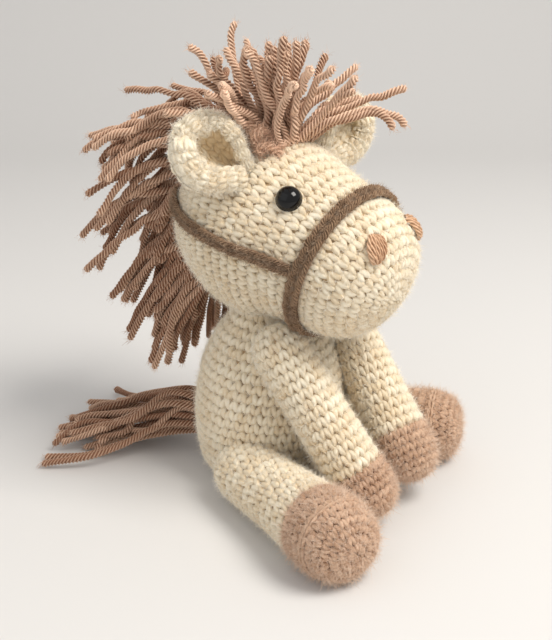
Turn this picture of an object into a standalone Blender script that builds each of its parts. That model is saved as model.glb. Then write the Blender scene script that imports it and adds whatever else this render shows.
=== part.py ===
"""Crocheted plush horse, seated, built as separate pieces about their real joints.

Metres, +Z up. The origin is the centre of the flat patch under the body, on the table.
The horse faces -Y, so its right side is -X.
"""

import math

import bmesh
import bpy
import numpy as np
from mathutils import Matrix, Vector
from mathutils.bvhtree import BVHTree

# Fabric and clearances
SKIN = 0.0026
STUFFING_ROOM = 0.0009
GAP = 0.0003
SWEEP_GAP = 0.0004
SEAM_LIFT = 0.0006
TINY = 0.000001
TABLE_DEPTH = 0.01

# Body
BODY_HEIGHT = 0.080
BODY_RADIUS = 0.033
BODY_LEAN = 0.002
BODY_RADIUS_SHARES = [(0, 0.61), (0.035, 0.8), (0.14, 0.945), (0.37, 1), (0.62, 0.92), (0.8, 0.75),
                      (0.9, 0.59), (1, 0.5)]
BODY_RINGS = 13
BODY_RING_CROWDING = 0.35
BODY_SEGMENTS = 24

# Head, in the frame of the neck joint
NECK_SINK = 0.004
NECK = (0, 0.004, BODY_HEIGHT - NECK_SINK)
HEAD_TURN = math.radians(-9)
HEAD_LENGTH = 0.105
HEAD_RADIUS = 0.0365
HEAD_SPINE_SHARES = [(0.362, 0.305), (0.02, 0.333), (-0.324, 0.262), (-0.6, 0.15)]
HEAD_RADIUS_SHARES = [(0, 0), (0.03, 0.41), (0.12, 0.74), (0.3, 0.986), (0.42, 1), (0.56, 0.885),
                      (0.66, 0.83), (0.8, 0.76), (0.9, 0.64), (0.97, 0.36), (1, 0)]
HEAD_RINGS = 17
HEAD_SEGMENTS = 24
CLOSING_HOLE_RADIUS = 0.003

# Safety eyes
EYE_RADIUS = 0.005
EYE_HEIGHT = 0.0042
EYE_POST_RADIUS = 0.0015
EYE_POST_LENGTH = 0.008
EYE_FORWARD = 0.0285
EYE_PLACES = {"right": (-0.0222, 0.054), "left": (0.029, 0.044)}
WASHER_RADIUS = 0.0055
WASHER_THICKNESS = 0.0012
WASHER_DEPTH = 0.0037
EYE_SEGMENTS = 16

# Bridle bands
BAND_WIDTH = 0.0062
BAND_THICKNESS = 0.0032
BAND_SECTION_POINTS = 8
BAND_LIFT = 0.0009
NOSEBAND_SHARE = 0.71
NOSEBAND_POINTS = 32
STRAP_RISE = 0.0385
STRAP_SLOPE_SHARE = 0.235
STRAP_WIDTH = 0.0052
STRAP_POINTS = 26
STRAP_CLEARANCE = 0.0008

# Nostril stitches
NOSTRIL_FORWARD = 0.062
NOSTRIL_RISE = 0.0425
NOSTRIL_PLACES = {"right": (-0.014, 0.0395), "left": (0.0145, 0.0425)}
NOSTRIL_WIDTH = 0.0072
NOSTRIL_LENGTH = 0.0105
NOSTRIL_THICKNESS = 0.0018
NOSTRIL_TAPER_SHARE = 0.25
NOSTRIL_UP_SHARES = (0, -0.25, 1)
NOSTRIL_SECTION_SHARES = [(0, 1), (0.45, 0.9), (0.8, 0.55), (1, 0.2), (0.96, 0), (0.45, 0), (0, 0)]

# Ears
EAR_LENGTH = 0.033
EAR_WIDTH = 0.028
EAR_CUP = 0.0105
EAR_THICKNESS = 0.0040
EAR_BASE_SIDE = 0.0225
EAR_BASE_FORWARD = 0.0085
EAR_BASE_RISE = 0.0585
EAR_LEAN_SHARES = {"right": (0.6, 0.4, 0.55), "left": (0.78, -0.12, 0.62)}
EAR_WIDTH_SHARES = [(0, 0.3), (0.15, 0.55), (0.4, 0.93), (0.6, 1), (0.8, 0.84), (0.93, 0.52), (1, 0.16)]
EAR_INNER_WIDTH_SHARE = 0.97
EAR_RINGS = 9
EAR_ARC_POINTS = 9
EAR_FLOP = math.radians(25)

# Arms, each from its shoulder centre to its hoof centre
ARM_ROOT_RADIUS = 0.0112
ARM_RADIUS = 0.0115
ARM_HOOF_RADIUS = 0.0124
SHOULDER_SIDE = 0.0232
SHOULDER_DROP = 0.0125
SHOULDER_HEIGHT = BODY_HEIGHT - SHOULDER_DROP
SHOULDER_FORWARD = {"right": 0.0155, "left": 0.019}
ARM_INWARD = {"right": 0.0015, "left": 0.0165}
ARM_HOOF_HEIGHT = {"right": 0.016, "left": 0.0205}
ARM_SLACK = 0.0125
ARM_REACH = SHOULDER_HEIGHT - ARM_HOOF_HEIGHT["right"] + ARM_SLACK
ARM_HOOF_SHARE = 0.86
ARM_RISE = math.radians(20)

# Legs, each from its hip centre to its hoof centre
LEG_ROOT_RADIUS = 0.0138
LEG_RADIUS = 0.014
LEG_HOOF_RADIUS = 0.0159
HIP_SIDE = 0.030
HIP_FORWARD = {"right": 0.004, "left": -0.0035}
LEG_REACH = 0.0585
LEG_HOOF_SHARE = 0.82
LEG_SPREAD = {"right": math.radians(27), "left": math.radians(13)}
LEG_SWING = math.radians(30)
TABLE_CUT = 0.0005

# Limb profile, as shares of a limb's parts
SLEEVE_MIDDLE_SHARE = 0.55
HOOF_BLEND_SHARE = 0.65
HOOF_FULL_SHARE = 0.35
SOLE_FLATNESS = 0.6
SEAM_ROOM_SHARE = 0.04
LIMB_RINGS = 8
LIMB_SEGMENTS = 16

# Neck
NOD_DOWN = math.radians(5)
NOD_UP = math.radians(10)

# Yarn strands
STRAND_RADIUS = 0.002
STRAND_TIP_SHARE = 0.75
STRAND_SIDES = 5
STRAND_RINGS = 6
KNOT_ROW_WIDTH = 0.0125
KNOT_ROW_THICKNESS = 0.0044
KNOT_PITCH = 0.0056
KNOT_MARGIN = 0.0025
MANE_LENGTH = 0.056
MANE_TOP_SAG_SHARE = 1.15
MANE_NAPE_SAG_SHARE = 1.9
MANE_KNOT_SPACING_SHARE = 0.75
MANE_FAN_SHARE = 0.75
MANE_BACK_SHARE = 0.2
MANE_STAGGER_SHARE = 0.5
MANE_ROWS_IN_LOCK = 2
MANE_COLUMNS = 3
MANE_ABOVE_STRAP = (math.radians(66), math.radians(25), 3)
MANE_BELOW_STRAP = (math.radians(7), math.radians(-45), 3)
FORELOCK_LENGTH = 0.045
FORELOCK_SAG_SHARE = 0.45
FORELOCK_AHEAD_SHARE = 1.1
FORELOCK_BACK_SHARE = 0.4
FORELOCK_SIDE_SHARE = 0.8
FORELOCK_KNOT_SPACING_SHARE = 0.85
FORELOCK_COUNT = 4
FORELOCK_START = math.radians(112)
TAIL_LENGTH = 0.068
TAIL_KNOT_RADIUS = 0.0075
TAIL_KNOT_RINGS = 9
TAIL_HEIGHT = 0.017
TAIL_COLUMNS = 5
TAIL_ROWS = 3
TAIL_TURN = math.radians(-17)
TAIL_FAN = math.radians(25)
TAIL_ROOT_FAN = math.radians(44)
TAIL_ROOT_RISES = [math.radians(-28), math.radians(8), math.radians(44)]
TAIL_LAYER = 0.0042
TAIL_ROOT_DEPTH_SHARE = 0.7
TAIL_SPREAD_RATE = 2.5
TAIL_DROP_RATE = 2.2
TAIL_PRESS_SHARE = 0.3


def clear_scene():
    for obj in list(bpy.data.objects):
        bpy.data.objects.remove(obj)


def material(name, colour, roughness, metallic=0.0):
    mat = bpy.data.materials.new(name)
    mat.use_nodes = True
    shader = mat.node_tree.nodes["Principled BSDF"]
    shader.inputs["Base Color"].default_value = (*colour, 1)
    shader.inputs["Roughness"].default_value = roughness
    shader.inputs["Metallic"].default_value = metallic
    return mat


def smooth_between(shares, at):
    """Monotone cubic curve through a table of (place, value)."""
    x, y = np.array(shares, float).T
    step = np.diff(x)
    slope = np.diff(y) / step
    tangent = np.empty(len(x))
    tangent[0], tangent[-1] = slope[0], slope[-1]
    product = slope[:-1] * slope[1:]
    total = np.where(product > 0, slope[:-1] + slope[1:], 1)
    tangent[1:-1] = np.where(product > 0, 2 * product / total, 0)
    index = np.clip(np.searchsorted(x, at) - 1, 0, len(step) - 1)
    h = step[index]
    t = (at - x[index]) / h
    return (
        y[index] * (1 + 2 * t) * (1 - t) ** 2
        + y[index + 1] * t * t * (3 - 2 * t)
        + tangent[index] * h * t * (1 - t) ** 2
        + tangent[index + 1] * h * t * t * (t - 1)
    )


def spine_through(points, at):
    """Cubic curve through evenly spaced points, with its direction at each place."""
    points = np.array(points, float)
    last = len(points) - 1
    ends = np.vstack([2 * points[0] - points[1], points, 2 * points[-1] - points[-2]])
    slopes = (ends[2:] - ends[:-2]) / 2
    index = np.clip((np.array(at) * last).astype(int), 0, last - 1)
    t = (np.array(at) * last - index)[:, None]
    p, q, m, n = points[index], points[index + 1], slopes[index], slopes[index + 1]
    place = p * (1 + 2 * t) * (1 - t) ** 2 + q * t * t * (3 - 2 * t)
    place += m * t * (1 - t) ** 2 + n * t * t * (t - 1)
    rate = 6 * t * (1 - t) * (q - p) + m * (1 - t) * (1 - 3 * t) + n * t * (3 * t - 2)
    return place, rate


def form_rings(spine, radius_at, at, segments, side=(1, 0, 0)):
    """Rings of points round a spine, with the outward normal at each point."""
    place, rate = spine_through(spine, at)
    speed = np.linalg.norm(rate, axis=1)[:, None]
    tangent = rate / speed
    first = np.array(side, float) - (tangent @ np.array(side, float))[:, None] * tangent
    first /= np.linalg.norm(first, axis=1)[:, None]
    second = np.cross(tangent, first)
    turn = np.linspace(0, 2 * math.pi, segments, endpoint=False)[None, :, None]
    radial = np.cos(turn) * first[:, None] + np.sin(turn) * second[:, None]
    radius = radius_at(at)
    nudge = 0.002
    growth = (radius_at(np.minimum(at + nudge, 1)) - radius_at(np.maximum(at - nudge, 0))) / (
        np.minimum(at + nudge, 1) - np.maximum(at - nudge, 0)
    )
    normal = radial * speed[:, None] - tangent[:, None] * growth[:, None, None]
    normal /= np.linalg.norm(normal, axis=2)[:, :, None]
    for end, sign in ((0, -1), (-1, 1)):
        if radius[end] < TINY:
            normal[end] = sign * tangent[end]
    return place[:, None] + radius[:, None, None] * radial, normal


def even_from_poles(count):
    """Places from 0 to 1 that crowd towards both ends, so that round ends stay round."""
    return 0.5 - 0.5 * np.cos(np.linspace(0, math.pi, count))


def surface_of(rings, cyclic=False):
    """Points and faces of a closed loft. An end ring of no size becomes one point."""
    points = []
    rows = []
    for ring in rings:
        ring = np.asarray(ring)
        if np.ptp(ring, axis=0).max() < TINY:
            rows.append([len(points)] * len(ring))
            points.append(tuple(ring[0]))
        else:
            rows.append(list(range(len(points), len(points) + len(ring))))
            points.extend(tuple(p) for p in ring)
    faces = []
    for low, high in zip(rows, rows[1:] + rows[:1] if cyclic else rows[1:]):
        for k in range(len(low)):
            after = (k + 1) % len(low)
            corners = [low[k], low[after], high[after], high[k]]
            face = [c for i, c in enumerate(corners) if c != corners[i - 1]]
            if len(face) > 2:
                faces.append(face)
    if not cyclic:
        for row, order in ((rows[0], -1), (rows[-1], 1)):
            if row[0] != row[1]:
                faces.append(row[::order])
    return points, faces


def mesh_object(name, surface, mat, parent=None):
    points, faces = surface
    mesh = bpy.data.meshes.new(name)
    mesh.from_pydata([Vector(p) for p in points], [], faces)
    work = bmesh.new()
    work.from_mesh(mesh)
    bmesh.ops.recalc_face_normals(work, faces=work.faces)
    work.to_mesh(mesh)
    work.free()
    mesh.shade_smooth()
    if mat:
        mesh.materials.append(mat)
    obj = bpy.data.objects.new(name, mesh)
    bpy.context.scene.collection.objects.link(obj)
    obj.parent = parent
    return obj


def joint_frame(name, place, rotation=None, parent=None):
    """An empty on a joint's axis, which its pieces are parented to."""
    empty = bpy.data.objects.new(name, None)
    bpy.context.scene.collection.objects.link(empty)
    empty.parent = parent
    local = Matrix.Translation(place)
    if rotation is not None:
        local = local @ rotation.to_4x4()
    empty.matrix_local = local
    bpy.context.view_layer.update()
    return empty


def hidden_tool(name, surface, matrix=None):
    """A cutter or a joining piece, left out of the object."""
    obj = mesh_object(name, surface, None)
    if matrix is not None:
        obj.matrix_world = matrix
    obj.hide_render = True
    obj.display_type = "WIRE"
    return obj


def boolean(obj, tool, operation="DIFFERENCE"):
    modifier = obj.modifiers.new(tool.name, "BOOLEAN")
    modifier.operation = operation
    modifier.solver = "EXACT"
    modifier.use_self = operation == "UNION"
    modifier.object = tool


def turned_about(place, axis, angle):
    """World matrix of a turn about an axis through a place."""
    return Matrix.Translation(place) @ Matrix.Rotation(angle, 4, axis) @ Matrix.Translation(-Vector(place))


def grown(rings, normals, amount):
    return rings + normals * amount


def body_rings():
    top = [(0, BODY_LEAN, 0), (0, BODY_LEAN, BODY_HEIGHT / 2), (0, 0, BODY_HEIGHT)]
    at = np.linspace(0, 1, BODY_RINGS)
    at = at * (1 - BODY_RING_CROWDING * (1 - at))
    return form_rings(top, lambda u: BODY_RADIUS * smooth_between(BODY_RADIUS_SHARES, u), at, BODY_SEGMENTS)


def head_spine():
    return [(0, y * HEAD_LENGTH, z * HEAD_LENGTH) for y, z in HEAD_SPINE_SHARES]


def head_radius(at):
    return HEAD_RADIUS * smooth_between(HEAD_RADIUS_SHARES, at)


def head_rings():
    return form_rings(head_spine(), head_radius, even_from_poles(HEAD_RINGS), HEAD_SEGMENTS)


def head_tree():
    """The outside of the head, for what is laid on it."""
    rings, _ = head_rings()
    points, faces = surface_of(rings)
    return BVHTree.FromPolygons([Vector(p) for p in points], faces)


def outward(tree, place, centre):
    """Nearest point on the head with its normal pointing away from the centre line."""
    spot, normal, _, _ = tree.find_nearest(Vector(place))
    if normal.dot(spot - Vector(centre)) < 0:
        normal = -normal
    return spot, normal


def make_body(mats):
    rings, normals = body_rings()
    skin = list(rings) + list(grown(rings, normals, -SKIN))[::-1]
    body = mesh_object("body_skin", surface_of(skin), mats["cream"])
    inner = grown(rings, normals, -(SKIN + STUFFING_ROOM))[:, ::2]
    stuffing = mesh_object("body_stuffing", surface_of(inner), mats["stuffing"])
    return body, stuffing


def make_head(mats, neck):
    rings, normals = head_rings()
    hole = np.array([head_radius(u) > CLOSING_HOLE_RADIUS for u in even_from_poles(HEAD_RINGS)])
    hole[-3:] = True
    outer = list(rings[hole])
    inner = list(grown(rings, normals, -SKIN)[hole])[::-1]
    first = outer[0]
    centre = first.mean(axis=0)
    shrink = CLOSING_HOLE_RADIUS / np.linalg.norm(first[0] - centre)
    rim = centre + (first - centre) * shrink
    lift = (rings[0][0] - centre) * (1 - shrink)
    outer_rim = rim + lift
    inner_rim = outer_rim + (inner[-1].mean(axis=0) - centre)
    shell = surface_of([outer_rim] + outer + inner + [inner_rim], True)
    skin = mesh_object("head_skin", shell, mats["cream"], neck)
    filling = grown(rings, normals, -(SKIN + STUFFING_ROOM))[::2, ::2]
    stuffing = mesh_object("head_stuffing", surface_of(filling), mats["stuffing"], neck)
    return skin, stuffing


def turned_profile(profile, segments):
    """Rings about local Z from a list of (radius, height)."""
    turn = np.linspace(0, 2 * math.pi, segments, endpoint=False)
    circle = np.stack([np.cos(turn), np.sin(turn), np.zeros(segments)], axis=1)
    return [circle * r + (0, 0, z) for r, z in profile]


def make_eye(name, tree, mats, neck, head_skin, head_stuffing):
    """A domed eye on a post through the fabric, with its locking washer behind."""
    side, rise = EYE_PLACES[name]
    guess = (side, -EYE_FORWARD, rise)
    spot, normal = outward(tree, guess, (0, -EYE_FORWARD, HEAD_RADIUS))
    frame = Matrix.Translation(spot) @ normal.to_track_quat("Z", "Y").to_matrix().to_4x4()
    foot = GAP + SEAM_LIFT
    dome = [(EYE_RADIUS * math.cos(a), foot + EYE_HEIGHT * math.sin(a)) for a in np.linspace(math.pi / 2, 0, 6)]
    profile = [(0 if r < TINY else r, z) for r, z in dome]
    profile += [(EYE_RADIUS, GAP), (EYE_POST_RADIUS, GAP), (EYE_POST_RADIUS, -EYE_POST_LENGTH)]
    eye = mesh_object("eye_" + name, surface_of(turned_profile(profile, EYE_SEGMENTS)), mats["eye"], neck)
    eye.matrix_local = frame
    bore = EYE_POST_RADIUS + GAP
    ring = [(bore, -WASHER_DEPTH), (WASHER_RADIUS, -WASHER_DEPTH)]
    ring += [(r, z - WASHER_THICKNESS) for r, z in ring[::-1]]
    disc = surface_of(turned_profile(ring, EYE_SEGMENTS), True)
    washer = mesh_object("eye_washer_" + name, disc, mats["washer"], neck)
    washer.matrix_local = frame
    bpy.context.view_layer.update()
    hole = turned_profile([(bore, EYE_HEIGHT), (bore, -WASHER_DEPTH)], EYE_SEGMENTS)
    boolean(head_skin, hidden_tool("eye_hole_" + name, surface_of(hole), eye.matrix_world))
    pocket_radius = WASHER_RADIUS + GAP
    pocket = turned_profile([(pocket_radius, 0), (pocket_radius, -EYE_POST_LENGTH - GAP)], EYE_SEGMENTS)
    boolean(head_stuffing, hidden_tool("eye_pocket_" + name, surface_of(pocket), eye.matrix_world))


def band_on(tree, places, centres, width, thickness, cyclic, lift=BAND_LIFT):
    """A band of rounded section laid on the head along a line of places."""
    places = [Vector(p) for p in places]
    count = len(places)
    rings = []
    for k, place in enumerate(places):
        ahead = places[(k + 1) % count] if cyclic or k + 1 < count else place
        behind = places[k - 1] if cyclic or k else place
        _, normal = outward(tree, place, centres[k])
        across = normal.cross(ahead - behind).normalized()
        ring = []
        for turn in np.linspace(0, 2 * math.pi, BAND_SECTION_POINTS, endpoint=False):
            spot, away = outward(tree, place + across * (width / 2 * math.cos(turn)), centres[k])
            ring.append(spot + away * (lift + thickness / 2 * (1 + math.sin(turn))))
        rings.append(np.array([tuple(p) for p in ring]))
    return surface_of(rings, cyclic)


def section_line(tree, centre, first, second, start, end, count, endpoint=True):
    """Places where rays from a centre, turning from one direction to another, leave the head."""
    places = []
    for angle in np.linspace(start, end, count, endpoint=endpoint):
        ray = (Vector(first) * math.cos(angle) + Vector(second) * math.sin(angle)).normalized()
        hit, _, _, _ = tree.ray_cast(Vector(centre), ray)
        places.append(hit)
    return places


def make_noseband(tree, mats, neck):
    place, rate = spine_through(head_spine(), np.array([NOSEBAND_SHARE]))
    centre = Vector(place[0])
    along = Vector(rate[0]).normalized()
    side = Vector((1, 0, 0))
    up = side.cross(along)
    line = section_line(tree, centre, side, up, 0, 2 * math.pi, NOSEBAND_POINTS, False)
    surface = band_on(tree, line, [centre] * NOSEBAND_POINTS, BAND_WIDTH, BAND_THICKNESS, True)
    mesh_object("noseband", surface, mats["bridle"], neck)
    room = 2 * SWEEP_GAP
    centres = [centre] * NOSEBAND_POINTS
    space = band_on(tree, line, centres, BAND_WIDTH + 2 * room, BAND_THICKNESS + 2 * room, True, 0)
    return centre, along, space


def make_cheek_strap(tree, mats, neck, nose_centre, nose_along):
    """One strap from the noseband on one side, round the back of the head, to the other side."""
    centre = Vector((0, 0, STRAP_RISE))
    back = Vector((0, 1, STRAP_SLOPE_SHARE)).normalized()
    side = Vector((1, 0, 0))
    whole = section_line(tree, centre, back, side, -math.pi, math.pi, 360)
    limit = BAND_WIDTH / 2 + STRAP_CLEARANCE
    kept = [p for p in whole if (p - nose_centre).dot(nose_along) < -limit]
    steps = np.linspace(0, len(kept) - 1, STRAP_POINTS).round().astype(int)
    line = [kept[k] for k in steps]
    surface = band_on(tree, line, [centre] * STRAP_POINTS, STRAP_WIDTH, BAND_THICKNESS, False)
    return mesh_object("cheek_strap", surface, mats["bridle"], neck)


def make_nostril(name, tree, mats, neck):
    """A teardrop of satin stitches that follows the muzzle."""
    centre = (0, -NOSTRIL_FORWARD + HEAD_RADIUS, NOSTRIL_RISE - HEAD_RADIUS / 2)
    side, rise = NOSTRIL_PLACES[name]
    spot, normal = outward(tree, (side, -NOSTRIL_FORWARD, rise), centre)
    across = normal.cross(Vector(NOSTRIL_UP_SHARES)).normalized()
    along = across.cross(normal)
    rings = []
    for reach, height in NOSTRIL_SECTION_SHARES:
        ring = []
        for turn in np.linspace(0, 2 * math.pi, EYE_SEGMENTS, endpoint=False):
            taper = 1 - NOSTRIL_TAPER_SHARE * math.sin(turn)
            offset = across * (NOSTRIL_WIDTH / 2 * taper * math.cos(turn))
            offset += along * (NOSTRIL_LENGTH / 2 * math.sin(turn))
            base, away = outward(tree, spot + offset * reach, centre)
            ring.append(base + away * (GAP + NOSTRIL_THICKNESS * height))
        rings.append(np.array([tuple(p) for p in ring]))
    return mesh_object("nostril_stitch_" + name, surface_of(rings), mats["mane"], neck)


def make_ear(side, name, mats, neck):
    """A pinched cup of fabric, open towards the front."""
    place = Vector((side * EAR_BASE_SIDE, -EAR_BASE_FORWARD, EAR_BASE_RISE))
    out, back, up = EAR_LEAN_SHARES[name]
    along = Vector((side * out, back, up)).normalized()
    front = Vector((0, -1, 0))
    front = (front - along * front.dot(along)).normalized()
    across = along.cross(front)
    rotation = Matrix((across, front, along)).transposed()
    frame = joint_frame("ear_%s_joint" % name, place, rotation, neck)
    rings = []
    for at in even_from_poles(EAR_RINGS):
        half = EAR_WIDTH / 2 * float(smooth_between(EAR_WIDTH_SHARES, np.array([at]))[0])
        depth = EAR_CUP * (half / (EAR_WIDTH / 2))
        ring = []
        spread = np.linspace(-1, 1, EAR_ARC_POINTS)
        for x in spread:
            ring.append((half * x, depth * (x * x - 1) - EAR_THICKNESS / 2, EAR_LENGTH * at))
        for x in spread[::-1]:
            inner = half * x * EAR_INNER_WIDTH_SHARE
            ring.append((inner, depth * (x * x - 1) + EAR_THICKNESS / 2, EAR_LENGTH * at))
        rings.append(np.array(ring))
    return mesh_object("ear_" + name, surface_of(rings), mats["cream"], frame), frame


def limb_profile(root, middle, hoof, reach, hoof_start, flat_sole):
    """Whole length of a limb, the place of its colour change and its radius from tip to tip."""
    whole = root + reach + hoof
    table = []
    for turn in np.linspace(0, math.pi / 2, 5):
        table.append(((root - root * math.cos(turn)) / whole, root * math.sin(turn)))
    change = (root + reach * hoof_start) / whole
    table.append((root / whole + (change - root / whole) * SLEEVE_MIDDLE_SHARE, middle))
    table.append((change, middle * (1 - HOOF_BLEND_SHARE) + hoof * HOOF_BLEND_SHARE))
    table.append((change + (1 - change) * HOOF_FULL_SHARE, hoof))
    for turn in np.linspace(math.pi / 3, 0, 5):
        drop = hoof * math.cos(turn)
        if flat_sole:
            drop = hoof * math.cos(turn) ** SOLE_FLATNESS
        table.append(((root + reach + drop) / whole, hoof * math.sin(turn)))
    return whole, change, table


def make_limb(kind, name, frame, sizes, mats, flat_sole=False):
    """Sleeve, hoof cap and stuffing of one limb, along local Z of its joint frame."""
    root, middle, hoof, reach, hoof_start = sizes
    whole, change, table = limb_profile(root, middle, hoof, reach, hoof_start, flat_sole)
    spine = [(0, 0, -root), (0, 0, whole - root)]
    split = GAP / whole / 2
    arc = even_from_poles(2 * LIMB_RINGS)
    upper = np.append(arc[arc < change - SEAM_ROOM_SHARE], change - split)
    lower = np.append(change + split, arc[arc > change + SEAM_ROOM_SHARE])

    def rings_at(at, inset):
        rings, normals = form_rings(spine, lambda u: smooth_between(table, u), at, LIMB_SEGMENTS)
        return list(grown(rings, normals, -inset))

    filling = [ring[::2] for ring in rings_at(even_from_poles(LIMB_RINGS + 1), SKIN + STUFFING_ROOM)]

    sleeve = rings_at(upper, 0) + rings_at(upper, SKIN)[::-1]
    cap = rings_at(lower, 0)[::-1] + rings_at(lower, SKIN)
    hoof_kind = {"arm": "front_hoof_", "leg": "hind_hoof_"}[kind]
    pieces = [
        mesh_object("%s_skin_%s" % (kind, name), surface_of(sleeve), mats["cream"], frame),
        mesh_object(hoof_kind + name, surface_of(cap), mats["tan"], frame),
        mesh_object("%s_stuffing_%s" % (kind, name), surface_of(filling), mats["stuffing"], frame),
    ]
    return pieces


def frame_along(place, direction):
    """Joint frame whose local Z runs along a direction."""
    return Vector(place), Vector(direction).normalized().to_track_quat("Z", "Y").to_matrix()


def arm_direction(side, name):
    """Unit direction from shoulder to hoof. The hoof comes to rest just above the table."""
    drop = (SHOULDER_HEIGHT - ARM_HOOF_HEIGHT[name]) / ARM_REACH
    inward = -side * ARM_INWARD[name] / ARM_REACH
    return Vector((inward, -math.sqrt(1 - drop * drop - inward * inward), -drop))


def hanging_places(root, heading, sag, length):
    """Places along a strand that leaves its root along a heading and bends down with its weight."""
    places = [Vector(root)]
    runs = STRAND_RINGS - 1
    for k in range(runs):
        t = (k + 0.5) / runs
        way = (Vector(heading) - Vector((0, 0, 1)) * (sag * t)).normalized()
        places.append(places[-1] + way * (length / runs))
    return places


def strand(places):
    """One strand of yarn along its places."""
    loops = []
    first = None
    turn = np.linspace(0, 2 * math.pi, STRAND_SIDES, endpoint=False)
    for k, place in enumerate(places):
        way = (places[min(k + 1, len(places) - 1)] - places[max(k - 1, 0)]).normalized()
        if first is None:
            first = way.orthogonal()
        first = (first - way * first.dot(way)).normalized()
        second = way.cross(first)
        thick = STRAND_RADIUS * (1 - (1 - STRAND_TIP_SHARE) * k / (len(places) - 1))
        loop = [place + (first * math.cos(a) + second * math.sin(a)) * thick for a in turn]
        loops.append(np.array([tuple(p) for p in loop]))
    return surface_of(loops)


def joined(surfaces):
    points, faces = [], []
    for some_points, some_faces in surfaces:
        start = len(points)
        points += list(some_points)
        faces += [[start + c for c in face] for face in some_faces]
    return points, faces


def crest_place(tree, angle):
    """Place on the middle line of the head at an angle about the head's centre, from straight back."""
    centre = Vector((0, 0, HEAD_RADIUS))
    ray = Vector((0, math.cos(angle), math.sin(angle)))
    hit, normal, _, _ = tree.ray_cast(centre, ray)
    if normal.dot(ray) < 0:
        normal = -normal
    return hit, normal


def make_mane_lock(number, first, pitch, tree, mats, neck):
    """A few rows of strands that share one row of knots."""
    top, nape = MANE_ABOVE_STRAP[0], MANE_BELOW_STRAP[1]

    def row_angle(row):
        return first + pitch * row

    last = row_angle(MANE_ROWS_IN_LOCK - 1)
    margin = KNOT_MARGIN / HEAD_RADIUS
    count = 2 * MANE_ROWS_IN_LOCK + 1
    line = [crest_place(tree, a)[0] for a in np.linspace(first + margin, last - margin, count)]
    centre = Vector((0, 0, HEAD_RADIUS))
    strip = band_on(tree, line, [centre] * count, KNOT_ROW_WIDTH, KNOT_ROW_THICKNESS, False)
    lock = mesh_object("mane_lock_%d" % number, strip, mats["mane"], neck)
    strands = []
    for row in range(MANE_ROWS_IN_LOCK):
        hit, normal = crest_place(tree, row_angle(row))
        for column in range(MANE_COLUMNS):
            lean = column - (MANE_COLUMNS - 1) / 2 + (row % 2 - 0.5) * MANE_STAGGER_SHARE
            side = Vector((1, 0, 0))
            root = hit + side * (lean * KNOT_PITCH * MANE_KNOT_SPACING_SHARE)
            root = root + normal * (BAND_LIFT + KNOT_ROW_THICKNESS / 2)
            heading = normal + side * (lean * MANE_FAN_SHARE) + Vector((0, MANE_BACK_SHARE, 0))
            down = (row_angle(row) - top) / (nape - top)
            sag = MANE_TOP_SAG_SHARE + (MANE_NAPE_SAG_SHARE - MANE_TOP_SAG_SHARE) * down
            strands.append(strand(hanging_places(root, heading.normalized(), sag, MANE_LENGTH)))
    boolean(lock, hidden_tool("strands_%d" % number, joined(strands), neck.matrix_world), "UNION")
    return lock


def make_mane(tree, mats, neck):
    """Locks down the back of the head, with room between two of them for the cheek strap."""
    number = 0
    for start, end, locks in (MANE_ABOVE_STRAP, MANE_BELOW_STRAP):
        pitch = (end - start) / (locks * MANE_ROWS_IN_LOCK - 1)
        for index in range(locks):
            number += 1
            make_mane_lock(number, start + pitch * index * MANE_ROWS_IN_LOCK, pitch, tree, mats, neck)


def make_forelock(tree, mats, neck):
    """A square of knots between the ears, whose strands fan out all round."""
    pitch = KNOT_PITCH / HEAD_RADIUS
    angles = [FORELOCK_START - pitch * k for k in range(FORELOCK_COUNT)]
    margin = KNOT_MARGIN / HEAD_RADIUS
    ends = np.linspace(angles[0] + margin, angles[-1] - margin, 2 * FORELOCK_COUNT)
    line = [crest_place(tree, a)[0] for a in ends]
    centre = Vector((0, 0, HEAD_RADIUS))
    strip = band_on(tree, line, [centre] * len(line), KNOT_PITCH * FORELOCK_COUNT, KNOT_ROW_THICKNESS, False)
    lock = mesh_object("forelock", strip, mats["mane"], neck)
    strands = []
    middle = (FORELOCK_COUNT - 1) / 2
    for row, angle in enumerate(angles):
        hit, normal = crest_place(tree, angle)
        for column in range(FORELOCK_COUNT):
            lean = (column - middle) / middle
            ahead = (middle - row) / middle
            side = Vector((1, 0, 0))
            spot = hit + side * (lean * middle * KNOT_PITCH * FORELOCK_KNOT_SPACING_SHARE)
            root, away = outward(tree, spot, centre)
            root = root + away * (BAND_LIFT + KNOT_ROW_THICKNESS / 2)
            tilt = FORELOCK_AHEAD_SHARE if ahead > 0 else FORELOCK_BACK_SHARE
            heading = Vector((lean * FORELOCK_SIDE_SHARE, -ahead * tilt, 1))
            strands.append(strand(hanging_places(root, heading.normalized(), FORELOCK_SAG_SHARE, FORELOCK_LENGTH)))
    boolean(lock, hidden_tool("forelock_strands", joined(strands), neck.matrix_world), "UNION")
    return lock


def tail_place():
    rings, _ = body_rings()
    heights = rings[:, 0, 2]
    reach = float(np.interp(TAIL_HEIGHT, heights, rings[:, :, 1].max(axis=1)))
    return Vector((0, reach + TAIL_KNOT_RADIUS + GAP, TAIL_HEIGHT))


def eased(t):
    t = min(max(t, 0), 1)
    return t * t * (3 - 2 * t)


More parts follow.
